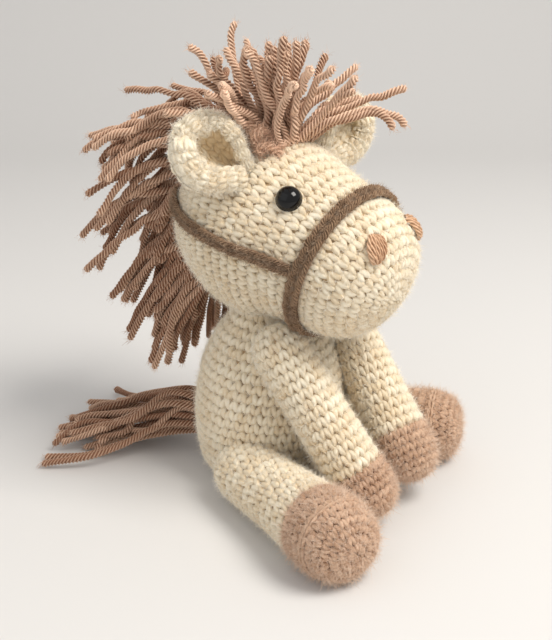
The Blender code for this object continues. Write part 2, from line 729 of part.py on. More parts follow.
def tail_strand_places(column, row):
    """Places of one tail strand: out of the knot, down, and along the table over the strands below it."""
    across = column / (TAIL_COLUMNS - 1) * 2 - 1
    shift = (row % 2) / (TAIL_COLUMNS - 1)
    rise = TAIL_ROOT_RISES[row]
    places = []
    start = math.cos(rise) * TAIL_KNOT_RADIUS * TAIL_ROOT_DEPTH_SHARE
    flat = Vector((0, 0, 0))
    for k in range(STRAND_RINGS):
        t = k / (STRAND_RINGS - 1)
        spread = eased(TAIL_SPREAD_RATE * t)
        turn = TAIL_TURN + TAIL_ROOT_FAN * across * (1 - spread) + TAIL_FAN * (across + shift) * spread
        way = Vector((math.sin(turn), math.cos(turn), 0))
        flat = way * start if k == 0 else flat + way * (TAIL_LENGTH / (STRAND_RINGS - 1))
        low = STRAND_RADIUS + GAP + TAIL_LAYER * row * (1 - TAIL_PRESS_SHARE * t) - TAIL_HEIGHT
        high = TAIL_KNOT_RADIUS * TAIL_ROOT_DEPTH_SHARE * math.sin(rise)
        places.append(flat + Vector((0, 0, high + (low - high) * eased(TAIL_DROP_RATE * t))))
    return places


def make_tail(mats):
    """A wrapped knot against the back, with strands that spread over the table."""
    frame = joint_frame("tail_joint", tail_place())
    turns = np.linspace(0, math.pi, TAIL_KNOT_RINGS)
    ball = [(TAIL_KNOT_RADIUS * math.sin(a), -TAIL_KNOT_RADIUS * math.cos(a)) for a in turns]
    ball = [(0 if r < TINY else r, z) for r, z in ball]
    tail = mesh_object("tail", surface_of(turned_profile(ball, EYE_SEGMENTS)), mats["mane"], frame)
    for row in range(TAIL_ROWS):
        strands = [strand(tail_strand_places(column, row)) for column in range(TAIL_COLUMNS)]
        boolean(tail, hidden_tool("tail_strands_%d" % row, joined(strands), frame.matrix_world), "UNION")
    return tail


def cut_by(pieces, surface, base, hinge_place, hinge_axis, angles, name):
    """Cuts pieces by a larger form as it stands at each angle of their joint, seen from the pieces."""
    for k, angle in enumerate(angles):
        matrix = turned_about(hinge_place, hinge_axis, -angle) @ base
        tool = hidden_tool("%s_%d" % (name, k), surface, matrix)
        for piece in pieces:
            boolean(piece, tool)


def main():
    clear_scene()
    mats = {
        "cream": material("cream_yarn", (0.84, 0.72, 0.52), 0.95),
        "tan": material("tan_yarn", (0.40, 0.21, 0.12), 0.95),
        "mane": material("mane_yarn", (0.43, 0.23, 0.15), 0.95),
        "bridle": material("bridle_yarn", (0.17, 0.09, 0.055), 0.95),
        "eye": material("eye_plastic", (0.005, 0.005, 0.006), 0.08),
        "washer": material("washer_plastic", (0.7, 0.7, 0.68), 0.5),
        "stuffing": material("fibrefill", (0.9, 0.9, 0.88), 1.0),
    }
    neck = joint_frame("neck_joint", NECK, Matrix.Rotation(HEAD_TURN, 3, "Z"))
    body, body_stuffing = make_body(mats)
    tree = head_tree()
    head_skin, head_stuffing = make_head(mats, neck)
    for name in ("right", "left"):
        make_eye(name, tree, mats, neck, head_skin, head_stuffing)
        make_nostril(name, tree, mats, neck)
    nose_centre, nose_along, band_space = make_noseband(tree, mats, neck)
    make_cheek_strap(tree, mats, neck, nose_centre, nose_along)
    make_mane(tree, mats, neck)
    make_forelock(tree, mats, neck)
    make_tail(mats)

    head_points, head_normals = head_rings()
    head_form = surface_of(grown(head_points, head_normals, SWEEP_GAP))
    chin_form = surface_of(grown(head_points, head_normals, BAND_LIFT + BAND_THICKNESS + SWEEP_GAP))
    body_points, body_normals = body_rings()
    body_form = surface_of(grown(body_points, body_normals, SWEEP_GAP))
    nod_axis = neck.matrix_world.to_3x3() @ Vector((1, 0, 0))
    for k, angle in enumerate(np.linspace(-NOD_UP, NOD_DOWN, 5)):
        matrix = turned_about(NECK, nod_axis, angle) @ neck.matrix_world
        tool = hidden_tool("head_space_%d" % k, head_form, matrix)
        boolean(body, tool)
        boolean(body_stuffing, tool)
    for k, angle in enumerate(np.linspace(0, NOD_DOWN, 3)):
        matrix = turned_about(NECK, nod_axis, angle) @ neck.matrix_world
        boolean(body, hidden_tool("noseband_space_%d" % k, band_space, matrix))

    for side, name in ((-1, "right"), (1, "left")):
        ear, frame = make_ear(side, name, mats, neck)
        swing_axis = frame.matrix_world.to_3x3() @ Vector((0, 1, 0))
        flop = np.linspace(0, -side * EAR_FLOP, 3)
        hinge = frame.matrix_world.translation
        cut_by([ear], head_form, neck.matrix_world, hinge, swing_axis, flop, "ear_space_" + name)

        place = (side * SHOULDER_SIDE, -SHOULDER_FORWARD[name], SHOULDER_HEIGHT)
        shoulder, rotation = frame_along(place, arm_direction(side, name))
        frame = joint_frame("shoulder_%s_joint" % name, shoulder, rotation)
        sizes = (ARM_ROOT_RADIUS, ARM_RADIUS, ARM_HOOF_RADIUS, ARM_REACH, ARM_HOOF_SHARE)
        pieces = make_limb("arm", name, frame, sizes, mats)
        lift = np.linspace(0, -ARM_RISE, 4)
        cut_by(pieces, body_form, Matrix(), shoulder, Vector((1, 0, 0)), lift, "arm_space_" + name)
        lowered = turned_about(NECK, nod_axis, NOD_DOWN) @ neck.matrix_world
        tool = hidden_tool("chin_space_" + name, chin_form, lowered)
        boolean(pieces[0], tool)
        boolean(pieces[2], tool)

        spread = LEG_SPREAD[name]
        rise = (LEG_HOOF_RADIUS - LEG_ROOT_RADIUS) / LEG_REACH
        way = Vector((side * math.sin(spread), -math.cos(spread), rise))
        hip, rotation = frame_along((side * HIP_SIDE, -HIP_FORWARD[name], LEG_ROOT_RADIUS - TABLE_CUT), way)
        frame = joint_frame("hip_%s_joint" % name, hip, rotation)
        sizes = (LEG_ROOT_RADIUS, LEG_RADIUS, LEG_HOOF_RADIUS, LEG_REACH, LEG_HOOF_SHARE)
        pieces = make_limb("leg", name, frame, sizes, mats, flat_sole=True)
        swing = np.linspace(0, side * LEG_SWING, 5)
        cut_by(pieces, body_form, Matrix(), hip, Vector((0, 0, 1)), swing, "leg_space_" + name)
        reach = 4 * LEG_REACH
        corners = ((-reach, -reach), (reach, -reach), (reach, reach), (-reach, reach))
        slab = [np.array([(x, y, z) for x, y in corners]) for z in (-TABLE_DEPTH, 0)]
        tool = hidden_tool("table_" + name, surface_of(slab))
        boolean(pieces[0], tool)
        boolean(pieces[1], tool)


main()
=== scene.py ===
import math

import bpy
import numpy as np
from mathutils import Matrix, Vector
from mathutils.bvhtree import BVHTree


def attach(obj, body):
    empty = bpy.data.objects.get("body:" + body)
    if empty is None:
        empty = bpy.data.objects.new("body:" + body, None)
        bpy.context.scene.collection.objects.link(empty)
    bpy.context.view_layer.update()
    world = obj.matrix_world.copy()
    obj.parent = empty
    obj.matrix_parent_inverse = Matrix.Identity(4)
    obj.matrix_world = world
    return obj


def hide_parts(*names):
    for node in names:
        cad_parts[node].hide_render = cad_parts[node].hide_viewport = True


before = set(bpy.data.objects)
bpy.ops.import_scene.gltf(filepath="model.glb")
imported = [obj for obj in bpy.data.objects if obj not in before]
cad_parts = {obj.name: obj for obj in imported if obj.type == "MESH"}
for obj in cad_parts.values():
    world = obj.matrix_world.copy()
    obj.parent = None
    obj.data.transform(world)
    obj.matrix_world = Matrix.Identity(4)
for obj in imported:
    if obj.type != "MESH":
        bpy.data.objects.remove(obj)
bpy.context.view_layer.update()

SIDES = ((-1, "right"), (1, "left"))
FULL_TURN = 2 * math.pi
ACROSS, UP = Vector((1, 0, 0)), Vector((0, 0, 1))
FLOOR_GAP = 0.0001

# Crochet gauge, and the sheet under the stitches, painted dark as the shade between them
STITCH_WIDTH, STITCH_HEIGHT = 0.0044, 0.0043
ROW_SHIFT = 0.33
STITCH_SHAKE, STITCH_SWELL, STITCH_RISE = 0.035, 0.04, 0.00010
BASE_DEPTH, BASE_STEP, BASE_SIDES = 0.0013, 0.0025, 48
HOOF_STITCH_SCALE = 0.82
# Hairs of the nap and longer loose fibres: how many on a square metre, and how long
HAIR_WIDTH = 0.00006
NAP_DENSITY, NAP_LENGTH = 2600000, 0.0016
FIBRE_DENSITY, FIBRE_LENGTH = 420000, 0.0028
NAP_SPREAD = 1.1
HOOF_NAP_REACH = 1.5

# Forms, as in the CAD model
BODY_HEIGHT, BODY_RADIUS, BODY_LEAN = 0.080, 0.033, 0.002
BODY_RADIUS_SHARES = [(0, 0.61), (0.035, 0.8), (0.14, 0.945), (0.37, 1), (0.62, 0.92), (0.8, 0.75),
                      (0.9, 0.59), (1, 0.5)]
NECK, HEAD_TURN = (0, 0.004, 0.076), math.radians(-9)
HEAD_LENGTH, HEAD_RADIUS = 0.105, 0.0365
HEAD_SPINE_SHARES = [(0.362, 0.305), (0.02, 0.333), (-0.324, 0.262), (-0.6, 0.15)]
HEAD_RADIUS_SHARES = [(0, 0), (0.03, 0.41), (0.12, 0.74), (0.3, 0.986), (0.42, 1), (0.56, 0.885),
                      (0.66, 0.83), (0.8, 0.76), (0.9, 0.64), (0.97, 0.36), (1, 0)]
EYE_RADIUS, EYE_HEIGHT, EYE_FORWARD = 0.005, 0.0042, 0.0285
EYE_PLACES = {"right": (-0.0222, 0.054), "left": (0.029, 0.044)}
NOSEBAND_SHARE = 0.71
BAND_WIDTH, STRAP_WIDTH, STRAP_RISE, STRAP_SLOPE = 0.0062, 0.0052, 0.0385, 0.235
NOSTRIL_FORWARD, NOSTRIL_RISE = 0.062, 0.0425
NOSTRIL_PLACES = {"right": (-0.014, 0.0395), "left": (0.0145, 0.0425)}
NOSTRIL_WIDTH, NOSTRIL_LENGTH = 0.0074, 0.0100
EAR_LENGTH, EAR_WIDTH, EAR_CUP, EAR_THICKNESS = 0.033, 0.028, 0.0105, 0.0048
EAR_BASE = (0.0225, 0.0085, 0.0585)
EAR_LEAN = {"right": (0.6, 0.4, 0.55), "left": (0.78, -0.12, 0.62)}
EAR_WIDTH_SHARES = [(0, 0.3), (0.15, 0.55), (0.4, 0.93), (0.6, 1), (0.8, 0.84), (0.93, 0.52), (1, 0.16)]
SHOULDER_SIDE, SHOULDER_HEIGHT = 0.0232, 0.0675
SHOULDER_FORWARD = {"right": 0.0155, "left": 0.019}
ARM_INWARD = {"right": 0.0015, "left": 0.0165}
ARM_HOOF_HEIGHT = {"right": 0.016, "left": 0.0205}
# Limbs: radius at the root, in the middle and at the hoof, reach, and where along it the hoof starts
ARM_REACH, LEG_REACH = 0.064, 0.0585
ARM_SIZES = (0.0112, 0.0115, 0.0124, ARM_REACH, 0.86)
LEG_SIZES = (0.0138, 0.014, 0.0159, LEG_REACH, 0.82)
HIP_SIDE, HIP_FORWARD = 0.030, {"right": 0.004, "left": -0.0035}
LEG_SPREAD = {"right": math.radians(27), "left": math.radians(13)}
TABLE_CUT = 0.0005
TAIL_KNOT_RADIUS, TAIL_HEIGHT = 0.0075, 0.017

# Camera, fitted to the photograph
CAMERA_PLACE, CAMERA_AIM = Vector((-0.3234, -0.1867, 0.2133)), Vector((0, 0, 0.070))
FOCAL_PIXELS = 950
FRAME_PIXELS = (552, 640)
SENSOR_WIDTH = 36


# Numbers

def monotone(shares, at):
    """A smooth curve through the given shares that never overshoots them."""
    x, y = np.array(shares, float).T
    step = np.diff(x)
    slope = np.diff(y) / step
    tangent = np.empty(len(x))
    tangent[0], tangent[-1] = slope[0], slope[-1]
    product = slope[:-1] * slope[1:]
    total = np.where(product > 0, slope[:-1] + slope[1:], 1)
    tangent[1:-1] = np.where(product > 0, 2 * product / total, 0)
    index = np.clip(np.searchsorted(x, at) - 1, 0, len(step) - 1)
    h = step[index]
    t = (at - x[index]) / h
    return (
        y[index] * (1 + 2 * t) * (1 - t) ** 2
        + y[index + 1] * t * t * (3 - 2 * t)
        + tangent[index] * h * t * (1 - t) ** 2
        + tangent[index + 1] * h * t * t * (t - 1)
    )


def along_spine(points, at):
    """Places on a smooth curve through the points, and the curve's rates there."""
    points = np.array(points, float)
    last = len(points) - 1
    ends = np.vstack([2 * points[0] - points[1], points, 2 * points[-1] - points[-2]])
    slopes = (ends[2:] - ends[:-2]) / 2
    index = np.clip((np.array(at) * last).astype(int), 0, last - 1)
    t = (np.array(at) * last - index)[:, None]
    p, q, m, n = points[index], points[index + 1], slopes[index], slopes[index + 1]
    place = p * (1 + 2 * t) * (1 - t) ** 2 + q * t * t * (3 - 2 * t)
    place = place + m * t * (1 - t) ** 2 + n * t * t * (t - 1)
    rate = 6 * t * (1 - t) * (q - p) + m * (1 - t) * (1 - 3 * t) + n * t * (3 * t - 2)
    return place, rate


def as_array(points):
    return np.array([tuple(p) for p in points], float)


def unit(v):
    return v / np.maximum(np.linalg.norm(v, axis=-1, keepdims=True), 1e-12)


def moved(points, matrix):
    return points @ matrix[:3, :3].T + matrix[:3, 3]


def spokes(turn, first, second):
    """Directions at the given turns, from the first towards the second."""
    return np.cos(turn)[..., None] * first + np.sin(turn)[..., None] * second


def round_turn(count):
    return np.linspace(0, FULL_TURN, count, endpoint=False)


def travelled(points):
    """The length of a line of points up to each of them."""
    return np.concatenate([[0], np.cumsum(np.linalg.norm(np.diff(points, axis=0), axis=1))])


def read_along(run, table, at):
    """Rows of a table at places between those of run."""
    return np.stack([np.interp(at, run, table[:, k]) for k in range(3)], axis=-1)


class Form:
    """A stuffed piece of round section along a spine, in a frame of its own."""

    def __init__(self, spine, radius_at, matrix):
        self.spine = np.array(spine, float)
        self.radius_at = radius_at
        self.matrix = np.array(matrix)
        self.places = np.linspace(0, 1, 801)
        grid = self.points(self.places[:, None], round_turn(8)[None], 0)
        run = np.linalg.norm(np.diff(grid, axis=0), axis=2).mean(axis=1)
        self.arc = np.concatenate([[0], np.cumsum(run)])
        self.length = self.arc[-1]
        centres, _ = along_spine(self.spine, self.places[::8])
        self.balls = moved(centres, self.matrix)
        self.ball_sizes = radius_at(self.places[::8])

    def points(self, u, turn, lift, with_normal=False):
        u, turn, lift = np.broadcast_arrays(u, turn, lift)
        shape = u.shape + (3,)
        u, turn, lift = u.ravel(), turn.ravel(), lift.ravel()
        place, rate = along_spine(self.spine, u)
        speed = np.linalg.norm(rate, axis=1)[:, None]
        tangent = rate / speed
        side = np.array((1.0, 0, 0))
        first = unit(side - (tangent @ side)[:, None] * tangent)
        radial = spokes(turn, first, np.cross(tangent, first))
        nudge = 0.002
        high, low = np.minimum(u + nudge, 1), np.maximum(u - nudge, 0)
        growth = (self.radius_at(high) - self.radius_at(low)) / (high - low)
        normal = unit(radial * speed - tangent * growth[:, None])
        spot = moved(place + self.radius_at(u)[:, None] * radial + normal * lift[:, None], self.matrix)
        if with_normal:
            return spot.reshape(shape), (normal @ self.matrix[:3, :3].T).reshape(shape)
        return spot.reshape(shape)

    def at_arc(self, arc):
        return np.interp(arc, self.arc, self.places)

    def depth(self, points):
        """How far points lie inside the form. Negative is outside."""
        flat = points.reshape(-1, 3)
        best = np.full(len(flat), -1.0)
        for centre, size in zip(self.balls, self.ball_sizes):
            best = np.maximum(best, size - np.linalg.norm(flat - centre, axis=1))
        return best.reshape(points.shape[:-1])


# Meshes

def add_object(name, data):
    obj = bpy.data.objects.new(name, data)
    bpy.context.scene.collection.objects.link(obj)
    return obj


class Build:
    """Collects vertices and faces with a yarn coordinate and a tint, and makes one object of them."""

    def __init__(self):
        self.verts, self.tints, self.faces = [], [], []
        self.count = 0

    def add(self, verts, faces, uv, tint, mat=0):
        verts = np.asarray(verts, float).reshape(-1, 3)
        start = self.count
        self.verts.append(verts)
        self.tints.append(np.broadcast_to(np.asarray(tint, float), len(verts)))
        self.count += len(verts)
        self.cover(start, faces, uv, mat)
        return start

    def cover(self, start, faces, uv, mat):
        faces = np.asarray(faces, int)
        uv = np.broadcast_to(np.asarray(uv, float), faces.shape + (2,))
        self.faces.append((faces + start, uv, np.full(len(faces), mat)))

    def object(self, name, materials):
        """One object of all that was added, with nothing below the floor."""
        verts = np.concatenate(self.verts)
        verts[:, 2] = np.maximum(verts[:, 2], FLOOR_GAP)
        sizes = np.concatenate([np.full(len(f), f.shape[1]) for f, _, _ in self.faces])
        loops = np.concatenate([f.ravel() for f, _, _ in self.faces])
        uvs = np.concatenate([u.reshape(-1, 2) for _, u, _ in self.faces])
        mesh = bpy.data.meshes.new(name)
        mesh.vertices.add(len(verts))
        mesh.vertices.foreach_set("co", verts.ravel())
        mesh.loops.add(len(loops))
        mesh.loops.foreach_set("vertex_index", loops)
        mesh.polygons.add(len(sizes))
        mesh.polygons.foreach_set("loop_start", np.concatenate([[0], np.cumsum(sizes)[:-1]]))
        mesh.polygons.foreach_set("material_index", np.concatenate([m for _, _, m in self.faces]))
        mesh.polygons.foreach_set("use_smooth", np.ones(len(sizes), bool))
        mesh.uv_layers.new(name="yarn").data.foreach_set("uv", uvs.ravel())
        mesh.attributes.new("tint", "FLOAT", "POINT").data.foreach_set("value", np.concatenate(self.tints))
        mesh.update(calc_edges=True)
        mesh.validate()
        for mat in materials:
            mesh.materials.append(mat)
        return add_object(name, mesh)


def grid_faces(rows, columns, closed=False):
    """Quads of a grid of points, and the yarn coordinate of their corners: along, then around."""
    k, j = np.meshgrid(np.arange(rows - 1), np.arange(columns if closed else columns - 1), indexing="ij")
    k, j = k.ravel(), j.ravel()
    after = (j + 1) % columns
    here, ahead = k * columns, (k + 1) * columns
    faces = np.stack([here + j, here + after, ahead + after, ahead + j], axis=1)
    along = np.stack([k, k, k + 1, k + 1], axis=1) / (rows - 1)
    around = np.stack([j, j + 1, j + 1, j], axis=1) / columns
    return faces, np.stack([along, around], axis=2)


def add_sheet(build, points, tint):
    """A plain open sheet behind the stitches, from a grid of points."""
    build.add(points, grid_faces(*points.shape[:2])[0], (0.5, 0.5), tint)


# The strands of one stitch, in millimetres from the foot of its two legs: across, up and out, then thickness
STITCH_STRANDS = (
    ((-0.30, -0.20, -1.50, 0.85), (-0.55, 0.75, -1.00, 1.22), (-0.80, 1.85, -0.82, 1.34),
     (-0.98, 2.95, -0.98, 1.25), (-1.0, 4.0, -1.60, 0.90)),
    ((0.48, -0.05, -1.60, 0.85), (0.92, 0.70, -1.12, 1.24), (1.50, 1.55, -0.92, 1.36),
     (1.98, 2.50, -1.05, 1.24), (2.20, 3.40, -1.65, 0.90)),
    ((1.30, 3.80, -1.90, 0.70), (2.30, 4.15, -1.45, 0.95), (3.20, 4.20, -1.45, 0.95),
     (4.10, 3.90, -1.90, 0.70)),
)


def stitch_template():
    """The strands seen on one stitch: x across its cell and y up it, as shares, and z outward in metres."""
    points, faces, uvs, start = [], [], [], 0
    for strand in STITCH_STRANDS:
        rings, sides = (7, 6) if len(strand) > 4 else (4, 5)
        at = np.linspace(0, 1, rings)
        fine, rate = along_spine(np.array(strand)[:, :3] * 0.001, at)
        thick, _ = along_spine(np.array(strand)[:, 3:] * 0.001, at)
        way = unit(rate)
        across = unit(np.cross(way, (0.0, 0.0, 1.0)))
        # The underside of each strand is never seen and is left open.
        turn = np.linspace(-0.30 * math.pi, 1.30 * math.pi, sides)
        ring = fine[:, None] + thick[:, None] * spokes(turn, across[:, None], np.cross(across, way)[:, None])
        points.append((ring / (STITCH_WIDTH, STITCH_HEIGHT, 1.0)).reshape(-1, 3))
        quads, uv = grid_faces(rings, sides)
        faces.append(start + quads)
        uvs.append(uv)
        start += rings * sides
    return np.concatenate(points), np.concatenate(faces), np.concatenate(uvs)


TEMPLATE_POINTS, TEMPLATE_FACES, TEMPLATE_UV = stitch_template()


def lay_stitches(build, place_at, cells, rng, tint=(0.2, 0.8), scale=1.0):
    """Stitches in cells of (start along, step along, start around, step around)."""
    cells = np.asarray(cells, float)
    count = len(cells)
    shake = rng.normal(0, STITCH_SHAKE, (count, 2))
    swell = 1 + rng.normal(0, STITCH_SWELL, count)
    rise = rng.normal(0, STITCH_RISE, count)
    x = TEMPLATE_POINTS[None, :, 0] * swell[:, None] + shake[:, :1]
    y = TEMPLATE_POINTS[None, :, 1] + shake[:, 1:]
    z = TEMPLATE_POINTS[None, :, 2] * scale + rise[:, None]
    points = place_at(cells[:, 0:1] + y * cells[:, 1:2], cells[:, 2:3] + x * cells[:, 3:4], z)
    size = len(TEMPLATE_POINTS)
    faces = (TEMPLATE_FACES[None] + size * np.arange(count)[:, None, None]).reshape(-1, 4)
    uv = np.tile(TEMPLATE_UV, (count, 1, 1))
    build.add(points, faces, uv, np.repeat(rng.uniform(tint[0], tint[1], count), size))


def rows_of(form, low, high, keep, scale):
    """Cells of every stitch in the rounds between two arc lengths, added or left out by sixes."""
    rows = max(1, round((high - low) / (STITCH_HEIGHT * scale)))
    step = (high - low) / rows
    cells = []
    turn = 0.0
    for i in range(rows):
        start = low + i * step
        radius = float(form.radius_at(form.at_arc(np.array([start + step / 2])))[0])
        count = max(6, 6 * round(FULL_TURN * radius / (6 * STITCH_WIDTH * scale)))
        turn += ROW_SHIFT / count
        cells += [(start, step, FULL_TURN * (j / count + turn), FULL_TURN / count) for j in range(count)]
    cells = np.array(cells)
    middle = form.points(form.at_arc(cells[:, 0] + cells[:, 1] / 2), cells[:, 2], 0.0)
    return cells[keep(middle)]


def add_base(build, form, low, high, depth, keep):
    """A sheet under the stitches, seen only between them, in a dark material that is painted shade."""
    rows = max(4, int((high - low) / BASE_STEP))
    arcs = np.linspace(low, high, rows + 1)
    points = form.points(form.at_arc(arcs)[:, None], round_turn(BASE_SIDES)[None], -depth)
    faces, uv = grid_faces(rows + 1, BASE_SIDES, True)
    kept = keep(points.reshape(-1, 3)[faces].mean(axis=1))
    build.add(points, faces[kept], uv[kept], 0.5, 1)


def hairs(build, roots, normals, rng, length, width, spread, tint=0.6):
    """The short nap of the yarn, each hair one thin triangle."""
    count = len(roots)
    way = unit(normals + spread * unit(rng.normal(0, 1, (count, 3))))
    flat = unit(np.cross(way, rng.normal(0, 1, (count, 3)))) * width
    tip = roots + way * length * rng.uniform(0.4, 1.5, count)[:, None]
    points = np.stack([roots - flat, roots + flat, tip], axis=1)
    build.add(points, 3 * np.arange(count)[:, None] + np.array([[0, 1, 2]]), (0.5, 0.5), tint)


def fibres(build, roots, normals, rng, length, width, spread, tint=0.6, mat=0):
    """Loose fibres that stand out of the yarn, each a thin bent ribbon."""
    count = len(roots)
    if not count:
        return
    way = unit(normals + spread * unit(rng.normal(0, 1, (count, 3))))
    bend = unit(rng.normal(0, 1, (count, 3)))
    size = length * rng.uniform(0.5, 1.4, count)[:, None]
    flat = unit(np.cross(way, unit(rng.normal(0, 1, (count, 3)))))
    middle = roots + way * size * 0.5
    tip = roots + way * size * 0.9 + bend * size * 0.35
    points = np.stack([roots - flat * width, roots + flat * width, middle + flat * width * 0.8,
                       middle - flat * width * 0.8, tip], axis=1)
    base = 5 * np.arange(count)[:, None]
    tints = np.repeat(np.broadcast_to(tint, count), 5)
    start = build.add(points, base + np.array([[0, 1, 2, 3]]), (0.5, 0.5), tints, mat)
    build.cover(start, base + np.array([[3, 2, 4]]), (0.5, 0.5), mat)


def add_nap(obj, form, low, high, keep, rng, material, reach=1.0):
    """Nap all over a skin and longer fibres here and there, as a piece that follows the skin."""
    build = Build()
    arcs = np.linspace(low, high, 60)
    radius = form.radius_at(form.at_arc(arcs))
    area = float(np.sum(math.pi * (radius[1:] + radius[:-1]) * np.diff(arcs)))
    weight = np.cumsum(radius) / np.sum(radius)
    for grow, density, lift, length in ((hairs, NAP_DENSITY, -0.0002, NAP_LENGTH),
                                        (fibres, FIBRE_DENSITY, 0.0001, FIBRE_LENGTH)):
        count = int(area * density * reach)
        arc = np.interp(rng.uniform(0, 1, count), weight, arcs)
        roots, normals = form.points(form.at_arc(arc), rng.uniform(0, FULL_TURN, count), lift, True)
        kept = keep(roots)
        grow(build, roots[kept], normals[kept], rng, length * reach, HAIR_WIDTH, NAP_SPREAD)
    build.object(obj.name + "_nap", [material]).parent = obj


# Yarn

PLIES = 4
# Round each ply, from its top through the furrow beside it: share of the yarn's radius, and change of tint,
# lighter on the top as painted light and darker in the furrow as painted shade
PLY_REACH = (1.0, 0.80, 0.48, 0.78)
PLY_SHADE = (0.30, 0.02, -0.62, -0.12)
YARN_STEP, YARN_PITCH = 0.00055, 0.0064
TIP_FIBRES = 26


def smooth_path(points, step):
    """Points a step apart along a smooth curve through the given ones."""
    points = as_array(points)
    fine, _ = along_spine(points, np.linspace(0, 1, 24 * len(points)))
    run = travelled(fine)
    count = max(3, int(round(run[-1] / step)) + 1)
    return read_along(run, fine, np.linspace(0, run[-1], count)), run[-1]


def carried_frames(path):
    """Two directions across a path that turn as little as they can along it."""
    way = unit(np.gradient(path, axis=0))
    first = np.empty_like(path)
    start = np.cross(way[0], (0.31, 0.17, 0.93))
    first[0] = start / np.linalg.norm(start)
    for k in range(1, len(path)):
        v = first[k - 1] - way[k] * (first[k - 1] @ way[k])
        first[k] = v / np.linalg.norm(v)
    return first, np.cross(way, first), way


def yarn(build, points, radius, rng, pitch=YARN_PITCH, cut=True, tint=None, fuzz=0):
    """One strand of plied yarn: lobes that twist round it and, where it is cut, a blunt fuzzy end."""
    path, length = smooth_path(points, YARN_STEP)
    first, second, way = carried_frames(path)
    rings, sides = len(path), len(PLY_REACH) * PLIES
    at = np.linspace(0, length, rings)
    start = rng.uniform(0, FULL_TURN)
    wind = start - FULL_TURN * at / pitch + 0.5 * np.sin(at / 0.009 + start)
    angle = wind[:, None] + round_turn(sides)[None]
    size = radius * np.tile(PLY_REACH, PLIES)[None] * (1 + 0.08 * np.sin(at[:, None] / 0.0041 + start))
    base = rng.uniform(0.3, 0.7) if tint is None else tint
    shade = base + np.tile(PLY_SHADE, PLIES)[None] + np.zeros((rings, 1))
    if cut:
        left = (length - at) / radius
        closing = np.sqrt(np.clip(1 - np.clip(1 - left / 0.9, 0, 1) ** 2, 0.02, 1))
        bud = closing * (1 + 0.10 * np.exp(-((left - 1.1) / 0.7) ** 2))
        size = size * bud[:, None]
        shade = shade + 0.25 * np.exp(-left / 1.2)[:, None]
    faces, uv = grid_faces(rings, sides, True)
    surface = path[:, None] + size[..., None] * spokes(angle, first[:, None], second[:, None])
    build.add(surface, faces, uv * (length / pitch, 1), shade.ravel())
    if cut:
        out = way[-1]
        roots = np.repeat(path[-1:] - out * radius * 0.5, TIP_FIBRES, axis=0)
        roots = roots + rng.normal(0, radius * 0.42, (TIP_FIBRES, 3))
        ways = np.repeat(out[None], TIP_FIBRES, axis=0)
        fibres(build, roots, ways, rng, 0.0024, HAIR_WIDTH, 1.0, base + 0.2)
    if fuzz:
        k = rng.integers(2, rings, fuzz)
        away = spokes(rng.uniform(0, FULL_TURN, fuzz), first[k], second[k])
        heading = away + 0.7 * way[k] * rng.choice([-1, 1], fuzz)[:, None]
        hairs(build, path[k] + away * radius * 0.7, heading, rng, 0.0015, 0.00005, 0.5, base + 0.2)


# Materials

def put(tree, socket, value):
    """Links a socket to another one, or sets it to a plain value."""
    if isinstance(value, bpy.types.NodeSocket):
        tree.links.new(value, socket)
    else:
        socket.default_value = value


def node(tree, kind, **inputs):
    made = tree.nodes.new(kind)
    for key, value in inputs.items():
        put(tree, made.inputs[key], value)
    return made


def maths(tree, operation, *values):
    made = tree.nodes.new("ShaderNodeMath")
    made.operation = operation
    for k, value in enumerate(values):
        put(tree, made.inputs[k], value)
    return made.outputs[0]


def mixed(tree, factor, a, b):
    made = tree.nodes.new("ShaderNodeMix")
    made.data_type = "RGBA"
    for socket, value in zip((made.inputs[0], made.inputs[6], made.inputs[7]), (factor, a, b)):
        put(tree, socket, value)
    return made.outputs[2]


def new_material(name, **values):
    """A material, its node tree and its shader, with the given values on the shader's own sockets."""
    mat = bpy.data.materials.new(name)
    mat.use_nodes = True
    shader = mat.node_tree.nodes["Principled BSDF"]
    for key, value in values.items():
        shader.inputs[key.replace("_", " ")].default_value = value
    return mat, mat.node_tree, shader


